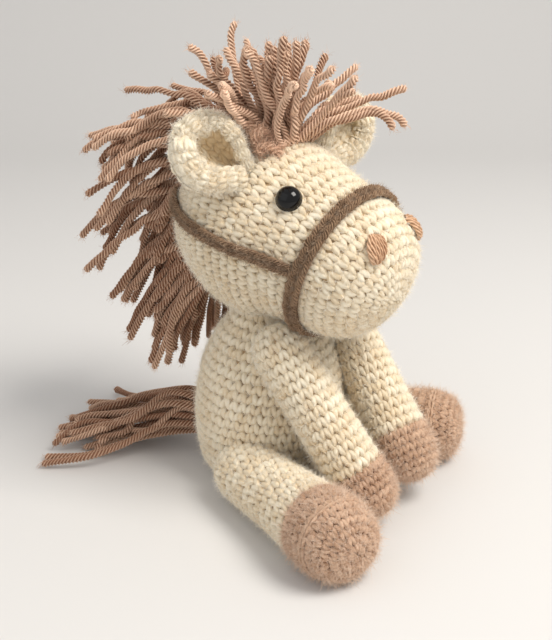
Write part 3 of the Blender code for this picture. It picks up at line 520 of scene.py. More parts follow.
def yarn_material(name, dark, light, plies=2.0, twist=1.0, ply_depth=0.00012, fibre_depth=0.00006, sheen=0.25,
                  patch=0.15):
    """Wool or cotton yarn: a tint for each strand, twisted plies and fine fibres along them."""
    mat, tree, shader = new_material(
        name, Roughness=0.92, Sheen_Weight=sheen, Sheen_Roughness=0.45, Specular_IOR_Level=0.25,
        Sheen_Tint=(*[min(1, c * 1.15 + 0.05) for c in light], 1))
    place = tree.nodes.new("ShaderNodeTexCoord").outputs["Object"]
    uv = tree.nodes.new("ShaderNodeUVMap")
    uv.uv_map = "yarn"
    split = node(tree, "ShaderNodeSeparateXYZ", Vector=uv.outputs[0])
    tint = tree.nodes.new("ShaderNodeAttribute")
    tint.attribute_name = "tint"
    # Twisted plies
    twisted = maths(tree, "MULTIPLY", split.outputs[0], twist)
    turn = maths(tree, "ADD", twisted, maths(tree, "MULTIPLY", split.outputs[1], plies))
    wave = maths(tree, "SINE", maths(tree, "MULTIPLY", turn, FULL_TURN))
    # Fine fibres, drawn out along the yarn, a grain and broad patches
    drawn = node(tree, "ShaderNodeMapping", Vector=uv.outputs[0], Scale=(3.0, 26.0, 1))
    noises = []
    for vector, scale, detail, roughness in ((drawn.outputs[0], 1.0, 3.0, 0.65), (place, 1400.0, 3.0, 0.6),
                                             (place, 55.0, 2.0, 0.5)):
        made = node(tree, "ShaderNodeTexNoise", Vector=vector, Scale=scale, Detail=detail,
                    Roughness=roughness)
        noises.append(made.outputs["Fac"])
    fibre, grain, broad = noises
    # Colour: each part of the relief darkens or lightens the strand's own tint: the ply wave as painted shade
    # in its furrows and painted light on its crests, the fibres, grain and patches as the yarn's own tone
    level = tint.outputs["Fac"]
    for source, middle, share in ((fibre, 0.5, 0.9), (wave, 0.0, 0.10), (grain, 0.5, 0.5),
                                  (broad, 0.5, 2 * patch)):
        change = maths(tree, "MULTIPLY", maths(tree, "SUBTRACT", source, middle), share)
        level = maths(tree, "ADD", level, change)
    clamp = node(tree, "ShaderNodeClamp", Value=level)
    put(tree, shader.inputs["Base Color"], mixed(tree, clamp.outputs[0], (*dark, 1), (*light, 1)))
    # Relief
    bump = node(tree, "ShaderNodeBump", Height=wave, Distance=ply_depth, Strength=1.0)
    for height, distance, strength in ((fibre, fibre_depth * 3, 1.0), (grain, fibre_depth * 2, 0.8)):
        bump = node(tree, "ShaderNodeBump", Height=height, Distance=distance, Strength=strength,
                    Normal=bump.outputs[0])
    put(tree, shader.inputs["Normal"], bump.outputs[0])
    return mat


def plain_material(name, colour, roughness, specular=0.5, relief=0.00001, strength=0.3):
    """A smooth material with a faint grain."""
    mat, tree, shader = new_material(name, Roughness=roughness, Specular_IOR_Level=specular)
    place = tree.nodes.new("ShaderNodeTexCoord").outputs["Object"]
    noise = node(tree, "ShaderNodeTexNoise", Vector=place, Scale=900.0, Detail=2.0).outputs["Fac"]
    low = tuple(c * 0.94 for c in colour)
    put(tree, shader.inputs["Base Color"], mixed(tree, noise, (*low, 1), (*colour, 1)))
    bump = node(tree, "ShaderNodeBump", Height=noise, Distance=relief, Strength=strength)
    put(tree, shader.inputs["Normal"], bump.outputs[0])
    return mat


KNIT = dict(ply_depth=0.00018, fibre_depth=0.00009)
SMOOTH = dict(ply_depth=0, fibre_depth=0, sheen=0.0)
# Strands whose plies are modelled, so that the material adds none
STRAND = dict(plies=4.0, twist=0.0, ply_depth=0.0)
CREAM = yarn_material("cream_yarn_knit", (0.81, 0.645, 0.425), (0.99, 0.91, 0.745), sheen=0.2, **KNIT)
# The sheets under the cream stitches, in colours that are painted shade seen between them
CREAM_PAINTED_SHADE = yarn_material("cream_yarn_painted_shade", (0.42, 0.29, 0.16), (0.58, 0.43, 0.27), sheen=0.0)
CREAM_FIBRE = yarn_material("cream_fibre", (0.88, 0.80, 0.66), (0.97, 0.93, 0.84), **SMOOTH)
TAN = yarn_material("tan_yarn_knit", (0.45, 0.265, 0.165), (0.80, 0.565, 0.405), sheen=0.22, **KNIT)
# The sheets under the hoof stitches, in colours that are painted shade seen between them
TAN_PAINTED_SHADE = yarn_material("tan_yarn_painted_shade", (0.15, 0.075, 0.042), (0.23, 0.12, 0.07), sheen=0.0)
TAN_FIBRE = yarn_material("tan_fibre", (0.66, 0.48, 0.36), (0.86, 0.70, 0.57), **SMOOTH)
MANE = yarn_material("mane_yarn_plied", (0.25, 0.118, 0.068), (0.88, 0.62, 0.455), patch=0.10, **STRAND)
NOSTRIL = yarn_material("nostril_yarn", (0.36, 0.185, 0.10), (0.86, 0.58, 0.38), sheen=0.2, patch=0.2,
                        **STRAND)
BRIDLE = yarn_material("bridle_yarn_plied", (0.105, 0.060, 0.034), (0.40, 0.260, 0.160), sheen=0.3, patch=0.3)
BRIDLE_FIBRE = yarn_material("bridle_fibre", (0.26, 0.17, 0.11), (0.62, 0.46, 0.33), **SMOOTH)
EYE = plain_material("eye_gloss", (0.0025, 0.0025, 0.003), 0.07, specular=0.35, relief=0.0, strength=0.0)
WASHER = plain_material("washer_white", (0.72, 0.72, 0.70), 0.45)


# Stuffed forms

def limb_form(place, direction, sizes, flat_sole=False):
    """A limb with a round root and a hoof, and the share of its length where the hoof starts."""
    root, middle, hoof, reach, hoof_start = sizes
    whole = root + reach + hoof
    table = []
    for turn in np.linspace(0, math.pi / 2, 5):
        table.append(((root - root * math.cos(turn)) / whole, root * math.sin(turn)))
    change = (root + reach * hoof_start) / whole
    table.append((root / whole + (change - root / whole) * 0.55, middle))
    table.append((change, middle * 0.35 + hoof * 0.65))
    table.append((change + (1 - change) * 0.35, hoof))
    for turn in np.linspace(math.pi / 3, 0, 5):
        drop = hoof * math.cos(turn) ** (0.6 if flat_sole else 1)
        table.append(((root + reach + drop) / whole, hoof * math.sin(turn)))
    turned = Vector(direction).normalized().to_track_quat("Z", "Y").to_matrix().to_4x4()
    spine = [(0, 0, -root), (0, 0, whole - root)]
    matrix = Matrix.Translation(place) @ turned
    return Form(spine, lambda u: np.maximum(monotone(table, u), 0), matrix), change


BODY = Form([(0, BODY_LEAN, 0), (0, BODY_LEAN, BODY_HEIGHT / 2), (0, 0, BODY_HEIGHT)],
            lambda u: BODY_RADIUS * monotone(BODY_RADIUS_SHARES, u), Matrix())
NECK_MATRIX = Matrix.Translation(NECK) @ Matrix.Rotation(HEAD_TURN, 4, "Z")
HEAD = Form([(0, y * HEAD_LENGTH, z * HEAD_LENGTH) for y, z in HEAD_SPINE_SHARES],
            lambda u: HEAD_RADIUS * monotone(HEAD_RADIUS_SHARES, u), NECK_MATRIX)

ARMS, LEGS = {}, {}
for side, name in SIDES:
    drop = (SHOULDER_HEIGHT - ARM_HOOF_HEIGHT[name]) / ARM_REACH
    inward = -side * ARM_INWARD[name] / ARM_REACH
    way = (inward, -math.sqrt(1 - drop * drop - inward * inward), -drop)
    ARMS[name] = limb_form((side * SHOULDER_SIDE, -SHOULDER_FORWARD[name], SHOULDER_HEIGHT), way, ARM_SIZES)
    spread = LEG_SPREAD[name]
    way = (side * math.sin(spread), -math.cos(spread), (LEG_SIZES[2] - LEG_SIZES[0]) / LEG_REACH)
    hip = (side * HIP_SIDE, -HIP_FORWARD[name], LEG_SIZES[0] - TABLE_CUT)
    LEGS[name] = limb_form(hip, way, LEG_SIZES, True)


# How far a skin goes on inside the form beside it
BODY_IN_HEAD, LIMB_IN_BODY, ARM_IN_HEAD = 0.0085, 0.0010, 0.0040
# The patch under the body: its height over the floor, and the share of a stitch's relief that is left there
PATCH_HEIGHT, PATCH_RELIEF = 0.0004, 0.4


def clear_of(*forms_and_margins):
    """A test that keeps the points no deeper in each form than its margin."""
    def keep(points):
        kept = np.ones(points.shape[:-1], bool)
        for form, margin in forms_and_margins:
            kept &= form.depth(points) < margin
        return kept
    return keep


def finish_piece(obj, body, slot, *nodes):
    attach(obj, body)
    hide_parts(*nodes)
    return obj


def skin(form, low, high, keep, rng, scale=1.0):
    """A crocheted skin over a form, with a sheet under it in painted shade."""
    build = Build()

    def place_at(along, around, lift):
        return form.points(form.at_arc(np.clip(along, 0, form.length)), around, lift)

    lay_stitches(build, place_at, rows_of(form, low, high, keep, scale), rng, scale=scale)
    add_base(build, form, low, high, BASE_DEPTH * scale, keep)
    return build


def make_body():
    rng = np.random.default_rng(11)
    keep = clear_of((HEAD, BODY_IN_HEAD))
    build = skin(BODY, 0, BODY.length, keep, rng)
    # The flat patch that it sits on, in rounds from its middle
    foot = BODY_RADIUS * BODY_RADIUS_SHARES[0][1]

    def on_patch(along, around, lift):
        radius = np.clip(along, 0, foot)
        flat = (radius * np.cos(around), BODY_LEAN + radius * np.sin(around))
        return np.stack([*flat, -lift * PATCH_RELIEF + PATCH_HEIGHT], axis=-1)

    rows = round(foot / STITCH_HEIGHT)
    cells = []
    for i in range(rows):
        count = 6 * (i + 1)
        start, step = i * foot / rows, foot / rows
        cells += [(start, step, FULL_TURN * (j / count + 0.02 * i), FULL_TURN / count) for j in range(count)]
    lay_stitches(build, on_patch, cells, rng)
    obj = build.object("body_crochet", [CREAM, CREAM_PAINTED_SHADE])
    finish_piece(obj, "torso", "cream_yarn", "body_skin", "body_stuffing")
    add_nap(obj, BODY, 0.004, BODY.length, keep, rng, CREAM_FIBRE)


def make_head():
    rng = np.random.default_rng(12)
    everywhere = clear_of()
    obj = skin(HEAD, 0, HEAD.length, everywhere, rng).object("head_crochet", [CREAM, CREAM_PAINTED_SHADE])
    finish_piece(obj, "head", "cream_yarn", "head_skin", "head_stuffing")
    add_nap(obj, HEAD, 0, HEAD.length, everywhere, rng, CREAM_FIBRE)


def make_limbs():
    in_body, in_head = (BODY, LIMB_IN_BODY), (HEAD, ARM_IN_HEAD)
    kinds = (("arm", ARMS, "front_hoof", 20, clear_of(in_body, in_head)),
             ("leg", LEGS, "hind_hoof", 25, clear_of(in_body)))
    for number, (_, name) in enumerate(SIDES):
        for kind, forms, hoof_kind, seed, keep in kinds:
            form, change = forms[name]
            rng = np.random.default_rng(seed + number)
            body = "%s_%s" % (name, kind)
            middle = float(np.interp(change, form.places, form.arc))
            piece = "%s_crochet_%s"
            sleeve = skin(form, 0, middle, keep, rng).object(piece % (kind, name), [CREAM, CREAM_PAINTED_SHADE])
            nodes = ("%s_skin_%s" % (kind, name), "%s_stuffing_%s" % (kind, name))
            finish_piece(sleeve, body, "cream_yarn", *nodes)
            add_nap(sleeve, form, 0, middle, keep, rng, CREAM_FIBRE)
            cap = skin(form, middle, form.length, keep, rng, HOOF_STITCH_SCALE)
            cap = cap.object(piece % (hoof_kind, name), [TAN, TAN_PAINTED_SHADE])
            finish_piece(cap, body, "tan_yarn", "%s_%s" % (hoof_kind, name))
            add_nap(cap, form, middle, form.length, keep, rng, TAN_FIBRE, HOOF_NAP_REACH)
            if kind == "leg":
                add_ridge(cap, form, middle + (form.length - middle) * RIDGE_SHARE, rng)


# The chain round the edge of a sole: where it lies, the length of a link and its radius along it
RIDGE_SHARE, RIDGE_LINK = 0.37, 0.0042
RIDGE_HALF_WIDTH, RIDGE_HEIGHT, RIDGE_SIDES = 0.0009, 0.0006, 5
RIDGE_SIZES = np.array([0.0004, 0.0007, 0.0008, 0.0007, 0.0004])


def add_ridge(obj, form, arc, rng):
    """The chain of loops left round the sole, where a round is worked into the back loops only."""
    build = Build()
    radius = float(form.radius_at(form.at_arc(np.array([arc])))[0])
    links = round(FULL_TURN * radius / RIDGE_LINK)
    rings = len(RIDGE_SIZES)
    t = np.linspace(0, 1, rings)
    for k in range(links):
        for sign in (-1, 1):
            across = arc + sign * RIDGE_HALF_WIDTH * np.sin(math.pi * t) ** 0.7
            turn = FULL_TURN * (k - 0.15 + 1.3 * t) / links
            lift = RIDGE_HEIGHT * np.sin(math.pi * t) - RIDGE_SIZES[0]
            fine, _ = along_spine(form.points(form.at_arc(across), turn, lift), t)
            first, second, _ = carried_frames(fine)
            around = spokes(round_turn(RIDGE_SIDES), first[:, None], second[:, None])
            faces, uv = grid_faces(rings, RIDGE_SIDES, True)
            build.add(fine[:, None] + RIDGE_SIZES[:, None, None] * around, faces, uv, rng.uniform(0.5, 0.8))
    build.object(obj.name + "_ridge", [TAN]).parent = obj


# On the head

def head_tree():
    """The head's plain surface in its own frame, to lay pieces on."""
    arcs = np.linspace(0, HEAD.length, 90)
    points = HEAD.points(HEAD.at_arc(arcs)[:, None], round_turn(96)[None], 0.0)
    local = moved(points.reshape(-1, 3), np.linalg.inv(HEAD.matrix))
    faces, _ = grid_faces(*points.shape[:2], True)
    return BVHTree.FromPolygons([Vector(p) for p in local], [tuple(f) for f in faces.tolist()])


TREE = head_tree()
HEAD_MIDDLE = (0, 0, HEAD_RADIUS)


def outward(place, centre=HEAD_MIDDLE):
    """The nearest place on the head, and its normal away from the centre."""
    spot, normal, _, _ = TREE.find_nearest(Vector(place))
    if normal.dot(spot - Vector(centre)) < 0:
        normal = -normal
    return spot, normal


def section_line(centre, first, second, start, end, count, endpoint=True):
    """Where rays from the centre, turning from first towards second, meet the head."""
    places = []
    for angle in np.linspace(start, end, count, endpoint=endpoint):
        ray = (first * math.cos(angle) + second * math.sin(angle)).normalized()
        places.append(TREE.ray_cast(centre, ray)[0])
    return places


def to_world(points):
    return moved(as_array(points), HEAD.matrix)


def band_surface(line, centre, closed):
    """Places and normals along a line on the head, as a function of length along and offset across."""
    spots, normals = (as_array(rows) for rows in zip(*[outward(p, centre) for p in line]))
    if closed:
        spots = np.vstack([spots, spots[:1]])
        normals = np.vstack([normals, normals[:1]])
    run = travelled(spots)

    def read(table, along):
        return read_along(run, table, along % run[-1] if closed else along)

    def place_at(along, across, lift):
        along, across, lift = np.broadcast_arrays(along, across, lift)
        shape = along.shape + (3,)
        along, across, lift = along.ravel(), across.ravel()[:, None], lift.ravel()[:, None]
        n = unit(read(normals, along))
        side = unit(np.cross(n, read(spots, along + 0.001) - read(spots, along - 0.001)))
        # The head is round, so what lies off the line sits lower.
        local = read(spots, along) + side * across + n * (lift - across ** 2 / 0.055)
        return moved(local, HEAD.matrix).reshape(shape)

    return place_at, run[-1]


# The bands: a link, its strands, the height of the sheet under them, and the fibres for each metre
CHAIN_LINK, BAND_STRAND_RADIUS, BAND_PITCH, BAND_SHEET_HEIGHT = 0.0044, 0.00125, 0.0042, 0.0007
BAND_FIBRES, BAND_FIBRE_LENGTH, BAND_FIBRE_ROOT = 60000, 0.0030, 0.0016


def make_band(name, line, centre, width, closed, seed, node_name):
    """A band of plied strands, worked as a chain and brushed until it is fuzzy."""
    rng = np.random.default_rng(seed)
    place_at, length = band_surface(line, centre, closed)
    build = Build()
    links = round(length / CHAIN_LINK)
    step = length / links
    t = np.linspace(0, 1, 9)
    swell = np.sin(math.pi * t)
    for k in range(links):
        start = k * step
        for sign in (-1, 1):
            along = start - 0.25 * step + t * step * 1.5
            across = sign * width * (0.06 + 0.24 * swell ** 0.8 + 0.03 * t) + rng.normal(0, 0.0001)
            lift = 0.0010 + 0.0011 * swell + rng.normal(0, 0.0001)
            points = place_at(along, across, lift)
            yarn(build, points, BAND_STRAND_RADIUS * width / BAND_WIDTH, rng, pitch=BAND_PITCH,
                 cut=False)
    along, across = np.linspace(0, length, 120)[:, None], np.linspace(-0.42, 0.42, 5)[None] * width
    # A sheet in a dark tint under the strands: painted shade between them.
    add_sheet(build, place_at(along, across, BAND_SHEET_HEIGHT), 0.1)
    count = int(length * BAND_FIBRES)
    along = rng.uniform(0, length, count)
    across = rng.uniform(-0.5, 0.5, count) * width
    roots = place_at(along, across, BAND_FIBRE_ROOT)
    out = unit(place_at(along, across, 0.0026) - roots)
    drift = unit(place_at(along + 0.001, across, BAND_FIBRE_ROOT) - roots)
    drift = drift * rng.choice([-1, 1], count)[:, None]
    tints = rng.uniform(0.0, 1.0, count)
    heading = unit(out * 0.4 + drift * 0.8)
    fibres(build, roots, heading, rng, BAND_FIBRE_LENGTH, HAIR_WIDTH, 0.7, tints, 1)
    finish_piece(build.object(name, [BRIDLE, BRIDLE_FIBRE]), "head", "bridle_yarn", node_name)


def make_bridle():
    place, rate = along_spine(HEAD.spine, np.array([NOSEBAND_SHARE]))
    nose_centre, nose_along = Vector(place[0]), Vector(rate[0]).normalized()
    line = section_line(nose_centre, ACROSS, ACROSS.cross(nose_along), 0, FULL_TURN, 96, False)
    make_band("noseband_yarn", line, nose_centre, BAND_WIDTH, True, 31, "noseband")
    centre = Vector((0, 0, STRAP_RISE))
    back = Vector((0, 1, STRAP_SLOPE)).normalized()
    whole = section_line(centre, back, ACROSS, -math.pi, math.pi, 360)
    kept = [p for p in whole if (p - nose_centre).dot(nose_along) < -BAND_WIDTH / 2 - 0.0004]
    make_band("cheek_strap_yarn", kept[::3] + [kept[-1]], centre, STRAP_WIDTH, False, 32, "cheek_strap")


# The eye's profile below its dome: share of the radius and height, down to the rim's underside
EYE_RIM = ((0.975, 0.00078), (1, 0.0007), (1, 0.0004), (0.96, 0.0002))
EYE_POST = [(0.0016, 0.0001), (0.0015, -0.008)]


def make_eyes():
    profile = [(0.0, 0.0051)]
    for a in np.linspace(0.08, math.pi / 2, 14):
        profile.append((EYE_RADIUS * 0.97 * math.sin(a), 0.0009 + EYE_HEIGHT * math.cos(a)))
    profile = np.array(profile + [(EYE_RADIUS * share, rise) for share, rise in EYE_RIM] + EYE_POST)
    turn = round_turn(48)
    radius, rise = profile[:, :1], np.repeat(profile[:, 1:], len(turn), axis=1)
    ring = np.stack([radius * np.cos(turn), radius * np.sin(turn), rise], axis=2)
    faces, uv = grid_faces(*ring.shape[:2], True)
    for _, name in SIDES:
        across, rise = EYE_PLACES[name]
        spot, normal = outward((across, -EYE_FORWARD, rise), (0, -EYE_FORWARD, HEAD_RADIUS))
        turned = normal.to_track_quat("Z", "Y").to_matrix().to_4x4()
        build = Build()
        matrix = np.array(NECK_MATRIX @ Matrix.Translation(spot) @ turned)
        build.add(moved(ring, matrix), faces[:, ::-1], uv, 0.5)
        finish_piece(build.object("eye_dome_" + name, [EYE]), "head", "eye_plastic", "eye_" + name)


NOSTRIL_THREADS, NOSTRIL_THREAD_RADIUS, NOSTRIL_PITCH, NOSTRIL_FUZZ = 5, 0.00112, 0.0085, 60
NOSTRIL_LOW, NOSTRIL_SWELL = 0.0002, 0.0020


def make_nostrils():
    """Satin stitches side by side, blunt above and pointed below."""
    for number, (_, name) in enumerate(SIDES):
        rng = np.random.default_rng(40 + number)
        centre = (0, -NOSTRIL_FORWARD + HEAD_RADIUS, NOSTRIL_RISE - HEAD_RADIUS / 2)
        side, rise = NOSTRIL_PLACES[name]
        spot, normal = outward((side, -NOSTRIL_FORWARD, rise), centre)
        across = normal.cross(Vector((0, -0.25, 1))).normalized()
        along = across.cross(normal)
        build = Build()
        for k in range(NOSTRIL_THREADS):
            x = (k + 0.5) / NOSTRIL_THREADS * 2 - 1
            points = []
            for y in np.linspace(-1, 1, 7):
                half = NOSTRIL_WIDTH / 2 * (0.12 + 0.80 * math.sin(math.pi * 0.86 * ((1 + y) / 2) ** 0.85))
                place = spot + across * (x * half) + along * (y * NOSTRIL_LENGTH / 2)
                base, away = outward(place, centre)
                swell = NOSTRIL_LOW + NOSTRIL_SWELL * math.sqrt(max(0, 1 - y * y)) * (1 - 0.35 * x * x)
                points.append(base + away * swell)
            # Each thread is a tint lighter than the one before: painted shade, darkest on the first.
            yarn(build, to_world(points), NOSTRIL_THREAD_RADIUS, rng, pitch=NOSTRIL_PITCH, cut=False,
                 tint=0.25 + 0.1 * k, fuzz=NOSTRIL_FUZZ)
        obj = build.object("nostril_threads_" + name, [NOSTRIL])
        finish_piece(obj, "head", "mane_yarn", "nostril_stitch_" + name)


# The ear's rolled edge: its radius, shares of that from one foot of the edge to the other, stitches round it,
# and how far its middle lies inside the edge, as a share of its radius, and before it
EAR_ROLL, EAR_ROLL_INSET, EAR_ROLL_AHEAD = 0.0045, 0.76, 0.0016
EAR_ROLL_SHARES = [(0, 1.08), (0.3, 1.12), (0.5, 1.0), (0.75, 0.74), (1, 0.6)]
EAR_ROLL_COLUMNS = 5
# The crease inside it: where across and along the ear, its width as a share, and its depth
EAR_CREASE, EAR_CREASE_LENGTH, EAR_CREASE_WIDTH, EAR_CREASE_DEPTH = 0.55, 0.42, 0.5, 0.0044
EAR_BASE_DEPTH = 0.0009
EAR_HAIRS, EAR_FIBRES, EAR_HAIR_LENGTH, EAR_FIBRE_LENGTH = 9000, 2200, 0.0017, 0.0030


def ear_frame(side, name):
    place = Vector((side * EAR_BASE[0], -EAR_BASE[1], EAR_BASE[2]))
    out, back, up = EAR_LEAN[name]
    along = Vector((side * out, back, up)).normalized()
    front = Vector((0, -1, 0))
    front = (front - along * front.dot(along)).normalized()
    rotation = Matrix((along.cross(front), front, along)).transposed()
    return np.array(NECK_MATRIX @ Matrix.Translation(place) @ rotation.to_4x4())


def make_ear(side, name, seed):
    """A pinched cup of thick fabric with a rolled edge."""
    rng = np.random.default_rng(seed)
    matrix = ear_frame(side, name)
    build = Build()

    def half_width(at):
        return EAR_WIDTH / 2 * monotone(EAR_WIDTH_SHARES, np.clip(at, 0, 1).ravel()).reshape(np.shape(at))

    def cup(at, x, lift):
        """Place on the cup: at along it, x across it, lift towards the front."""
        half = half_width(at)
        depth = EAR_CUP * half / (EAR_WIDTH / 2)
        tilt = np.arctan2(2 * depth * x, half)
        ahead = depth * (x * x - 1) + lift * np.cos(tilt)
        return moved(np.stack([half * x - lift * np.sin(tilt), ahead, EAR_LENGTH * at], axis=-1), matrix)

    def crease(at, x):
        """How far a place on the inside is from the crease: 0 in it and 1 well away from it."""
        away = (x + side * EAR_CREASE) ** 2 + (2.0 * np.clip(at - EAR_CREASE_LENGTH, 0, 1)) ** 2
        return 1 - np.exp(-away / EAR_CREASE_WIDTH ** 2)

    rows = round(EAR_LENGTH / STITCH_HEIGHT)
    for face, reach in ((-1, 0.92), (1, 0.86)):
        cells = []
        for i in range(rows):
            half = float(half_width(np.array([(i + 0.5) / rows]))[0])
            count = max(2, round(2.3 * half * reach / STITCH_WIDTH))
            start, step = (i - 0.1) / rows, 1 / rows
            cells += [(start, step, reach * (-1 + 2 * (j + 0.35) / count), 2 * reach / count)
                      for j in range(count)]
        cells = np.array(cells)

        def place_at(along, around, lift):
            around = np.clip(around, -1, 1)
            raised = EAR_CREASE_DEPTH * crease(along, around) if face > 0 else 0
            return cup(along, around, face * (EAR_THICKNESS / 2 + raised + lift))

        # Stitches deep in the crease take much darker tints: painted shade in the hollow.
        deep = (face > 0) & (crease(cells[:, 0] + cells[:, 1] / 2, cells[:, 2] + cells[:, 3] / 2) < 0.45)
        lay_stitches(build, place_at, cells[~deep], rng, (0.25, 0.85))
        if deep.any():
            lay_stitches(build, place_at, cells[deep], rng, (-0.5, 0.1))
        at, x = np.meshgrid(np.linspace(0, 1, 22), np.linspace(-1, 1, 17), indexing="ij")
        # The sheet under the stitches has a low tint: painted shade in the gaps between them.
        add_sheet(build, place_at(at, x, np.full(at.shape, -EAR_BASE_DEPTH)), 0.3)

    # The edge, a roll with stitches laid across it from the back to the front
    up_side = np.linspace(0.0, 0.96, 16)
    at = np.concatenate([up_side, [1.0], up_side[::-1]])
    x = np.concatenate([np.full(16, -1.0), [0.0], np.full(16, 1.0)])
    path, length = smooth_path(cup(at, x, np.zeros(33)), 0.0008)
    way = unit(np.gradient(path, axis=0))
    run = np.linspace(0, length, len(path))
    front = matrix[:3, 1]
    outer = unit(np.cross(way, front))
    middle = cup(np.array([0.5]), np.array([0.0]), np.array([0.0]))[0]
    outer = outer * np.sign(np.sum(outer * (path - middle), axis=1))[:, None]
    ahead = unit(front - (way @ front)[:, None] * way)
    shares = np.array(EAR_ROLL_SHARES)

    def on_roll(along, around, lift):
        """On the roll: along it from one foot of the edge, and around it from the edge towards the front."""
        c, o, f = (read_along(run, table, along) for table in (path, outer, ahead))
        share = along / length if side < 0 else 1 - along / length
        roll = (EAR_ROLL * np.interp(share, shares[:, 0], shares[:, 1]))[..., None]
        middle = c - o * (roll * EAR_ROLL_INSET) + f * EAR_ROLL_AHEAD
        return middle + (roll + lift[..., None]) * spokes(around, o, f)

    count = round(length / STITCH_HEIGHT)
    turn = STITCH_WIDTH * 0.95 / EAR_ROLL
    cells = [(k * length / count, length / count, (row + 0.4 * (k % 2)) * turn, turn)
             for k in range(count) for row in range(EAR_ROLL_COLUMNS)]

    def from_behind(along, around, lift):
        return on_roll(along, 3.1 - around, lift)

    lay_stitches(build, from_behind, cells, rng, (0.35, 0.95))
    around, along = np.meshgrid(np.linspace(-math.pi, math.pi, 13), np.linspace(0, length, 70), indexing="ij")
    # The sheet under the roll's stitches has a low tint: painted shade in the gaps between them.
    add_sheet(build, on_roll(along, around, np.full(along.shape, -EAR_BASE_DEPTH)), 0.3)
    obj = build.object("ear_crochet_" + name, [CREAM])
    finish_piece(obj, name + "_ear", "cream_yarn", "ear_" + name)
    nap = Build()
    around, along = rng.uniform(-2.2, 2.6, EAR_HAIRS), rng.uniform(0, length, EAR_HAIRS)
    roots = on_roll(along, around, np.full(EAR_HAIRS, -0.0002))
    out = unit(on_roll(along, around, np.full(EAR_HAIRS, 0.001)) - roots)
    hairs(nap, roots, out, rng, EAR_HAIR_LENGTH, HAIR_WIDTH, NAP_SPREAD)
    some = slice(EAR_FIBRES)
    fibres(nap, roots[some], out[some], rng, EAR_FIBRE_LENGTH, HAIR_WIDTH, NAP_SPREAD)
    nap.object(obj.name + "_nap", [CREAM_FIBRE]).parent = obj


# Mane, forelock and tail

STRAND_RADIUS, STRAND_FUZZ = 0.00163, 80
KNOT_RADIUS, KNOT_HALF_WIDTH, KNOT_RISE = 0.0013, 0.0023, 0.0018
MANE_LENGTH, MANE_ROWS, MANE_PITCH = 0.056, 17, 0.0036
# The crest before and behind the strap: first and last angle, locks, end beside the strap and lean there
MANE_STRETCHES = [(math.radians(72), math.radians(19.5), (1, 2, 3), 1, -0.55),
                  (math.radians(8), math.radians(-48), (4, 5, 6), 0, 0.45)]


def crest_place(angle):
    """Where the middle of the head's top and back is at an angle from straight back, and its normal."""
    ray = Vector((0, math.cos(angle), math.sin(angle)))
    hit, normal, _, _ = TREE.ray_cast(Vector(HEAD_MIDDLE), ray)
    return hit, normal if normal.dot(ray) > 0 else -normal


def hanging(root, heading, sag, length, curl, rng, steps=9):
    """A strand that leaves its root along a heading and bends down, with a little wander of its own."""
    places = [Vector(root)]
    for k in range(steps):
        t = (k + 0.5) / steps
        kink = Vector(rng.normal(0, 0.13, 3))
        way = (Vector(heading) - UP * (sag * t) + Vector(curl) * t * t + kink).normalized()
        places.append(places[-1] + way * (length / steps))
    return to_world(places)


def knot(build, spot, normal, rng, tint):
    """The loop that holds a strand in the fabric."""
    up = normal.cross(ACROSS).normalized()
    points = []
    for a in np.linspace(-0.2, math.pi + 0.2, 7):
        rise = 0.0004 + KNOT_RISE * math.sin(a)
        points.append(spot + ACROSS * (KNOT_HALF_WIDTH * math.cos(a)) + normal * rise + up * 0.0006)
    yarn(build, to_world(points), KNOT_RADIUS, rng, cut=False, tint=tint)


def make_mane():
    rng = np.random.default_rng(60)
    builds = {k: Build() for k in range(1, 7)}
    top, bottom = MANE_STRETCHES[0][0], MANE_STRETCHES[1][1]
    for first, last, locks, strap_end, strap_lean in MANE_STRETCHES:
        for row in range(MANE_ROWS):
            share = row / (MANE_ROWS - 1)
            angle = first + (last - first) * share
            build = builds[locks[min(2, int(share * 3))]]
            down = (angle - top) / (bottom - top)
            # The top rows lean back, and those beside the strap lean over it.
            back = 0.85 * max(0, 1 - down / 0.3) + 0.15
            beside = math.exp(-((share - strap_end) / 0.22) ** 2) * strap_lean
            hit, normal = crest_place(angle)
            columns = 5 if row % 2 else 4
            for column in range(columns):
                lean = column - (columns - 1) / 2
                place = hit + ACROSS * (lean * MANE_PITCH)
                heading = normal + ACROSS * (lean * 0.42 + rng.normal(0, 0.16))
                heading = heading + Vector((0, back + rng.normal(0, 0.12), beside + rng.normal(0, 0.14)))
                heading.normalize()
                sag = 1.1 + 1.9 * down * (1 - 0.45 * down) + rng.normal(0, 0.25)
                length = MANE_LENGTH * rng.uniform(0.76, 1.02)
                # The mane's strands take darker tints than the forelock's of the same yarn: painted shade.
                tint = rng.uniform(0.1, 0.68)
                places = hanging(place + normal * 0.0012, heading, sag, length, rng.normal(0, 0.36, 3), rng)
                yarn(build, places, STRAND_RADIUS * rng.uniform(0.92, 1.08), rng, tint=tint, fuzz=STRAND_FUZZ)
                knot(build, place, normal, rng, tint)
            # Short strands under the long ones fill the gaps; their darker tints are painted shade under the
            # long ones.
            for lean in (-1.1, 1.1):
                root = hit + Vector((lean * 0.0066, 0, 0)) + normal * 0.0014
                heading = Vector((lean * 0.35, 0.5, -1)).normalized()
                length = MANE_LENGTH * rng.uniform(0.4, 0.62)
                places = hanging(root, heading, 0.1, length, rng.normal(0, 0.3, 3), rng, 6)
                yarn(build, places, STRAND_RADIUS, rng, tint=rng.uniform(0.1, 0.4))
    for k, build in builds.items():
        finish_piece(build.object("mane_yarn_%d" % k, [MANE]), "head", "mane_yarn", "mane_lock_%d" % k)


FORELOCK_ROWS, FORELOCK_PITCH, FORELOCK_ANGLE = 7, 0.0033, math.radians(114)
FORELOCK_LENGTH, FORELOCK_SIDE = 0.046, 0.0098
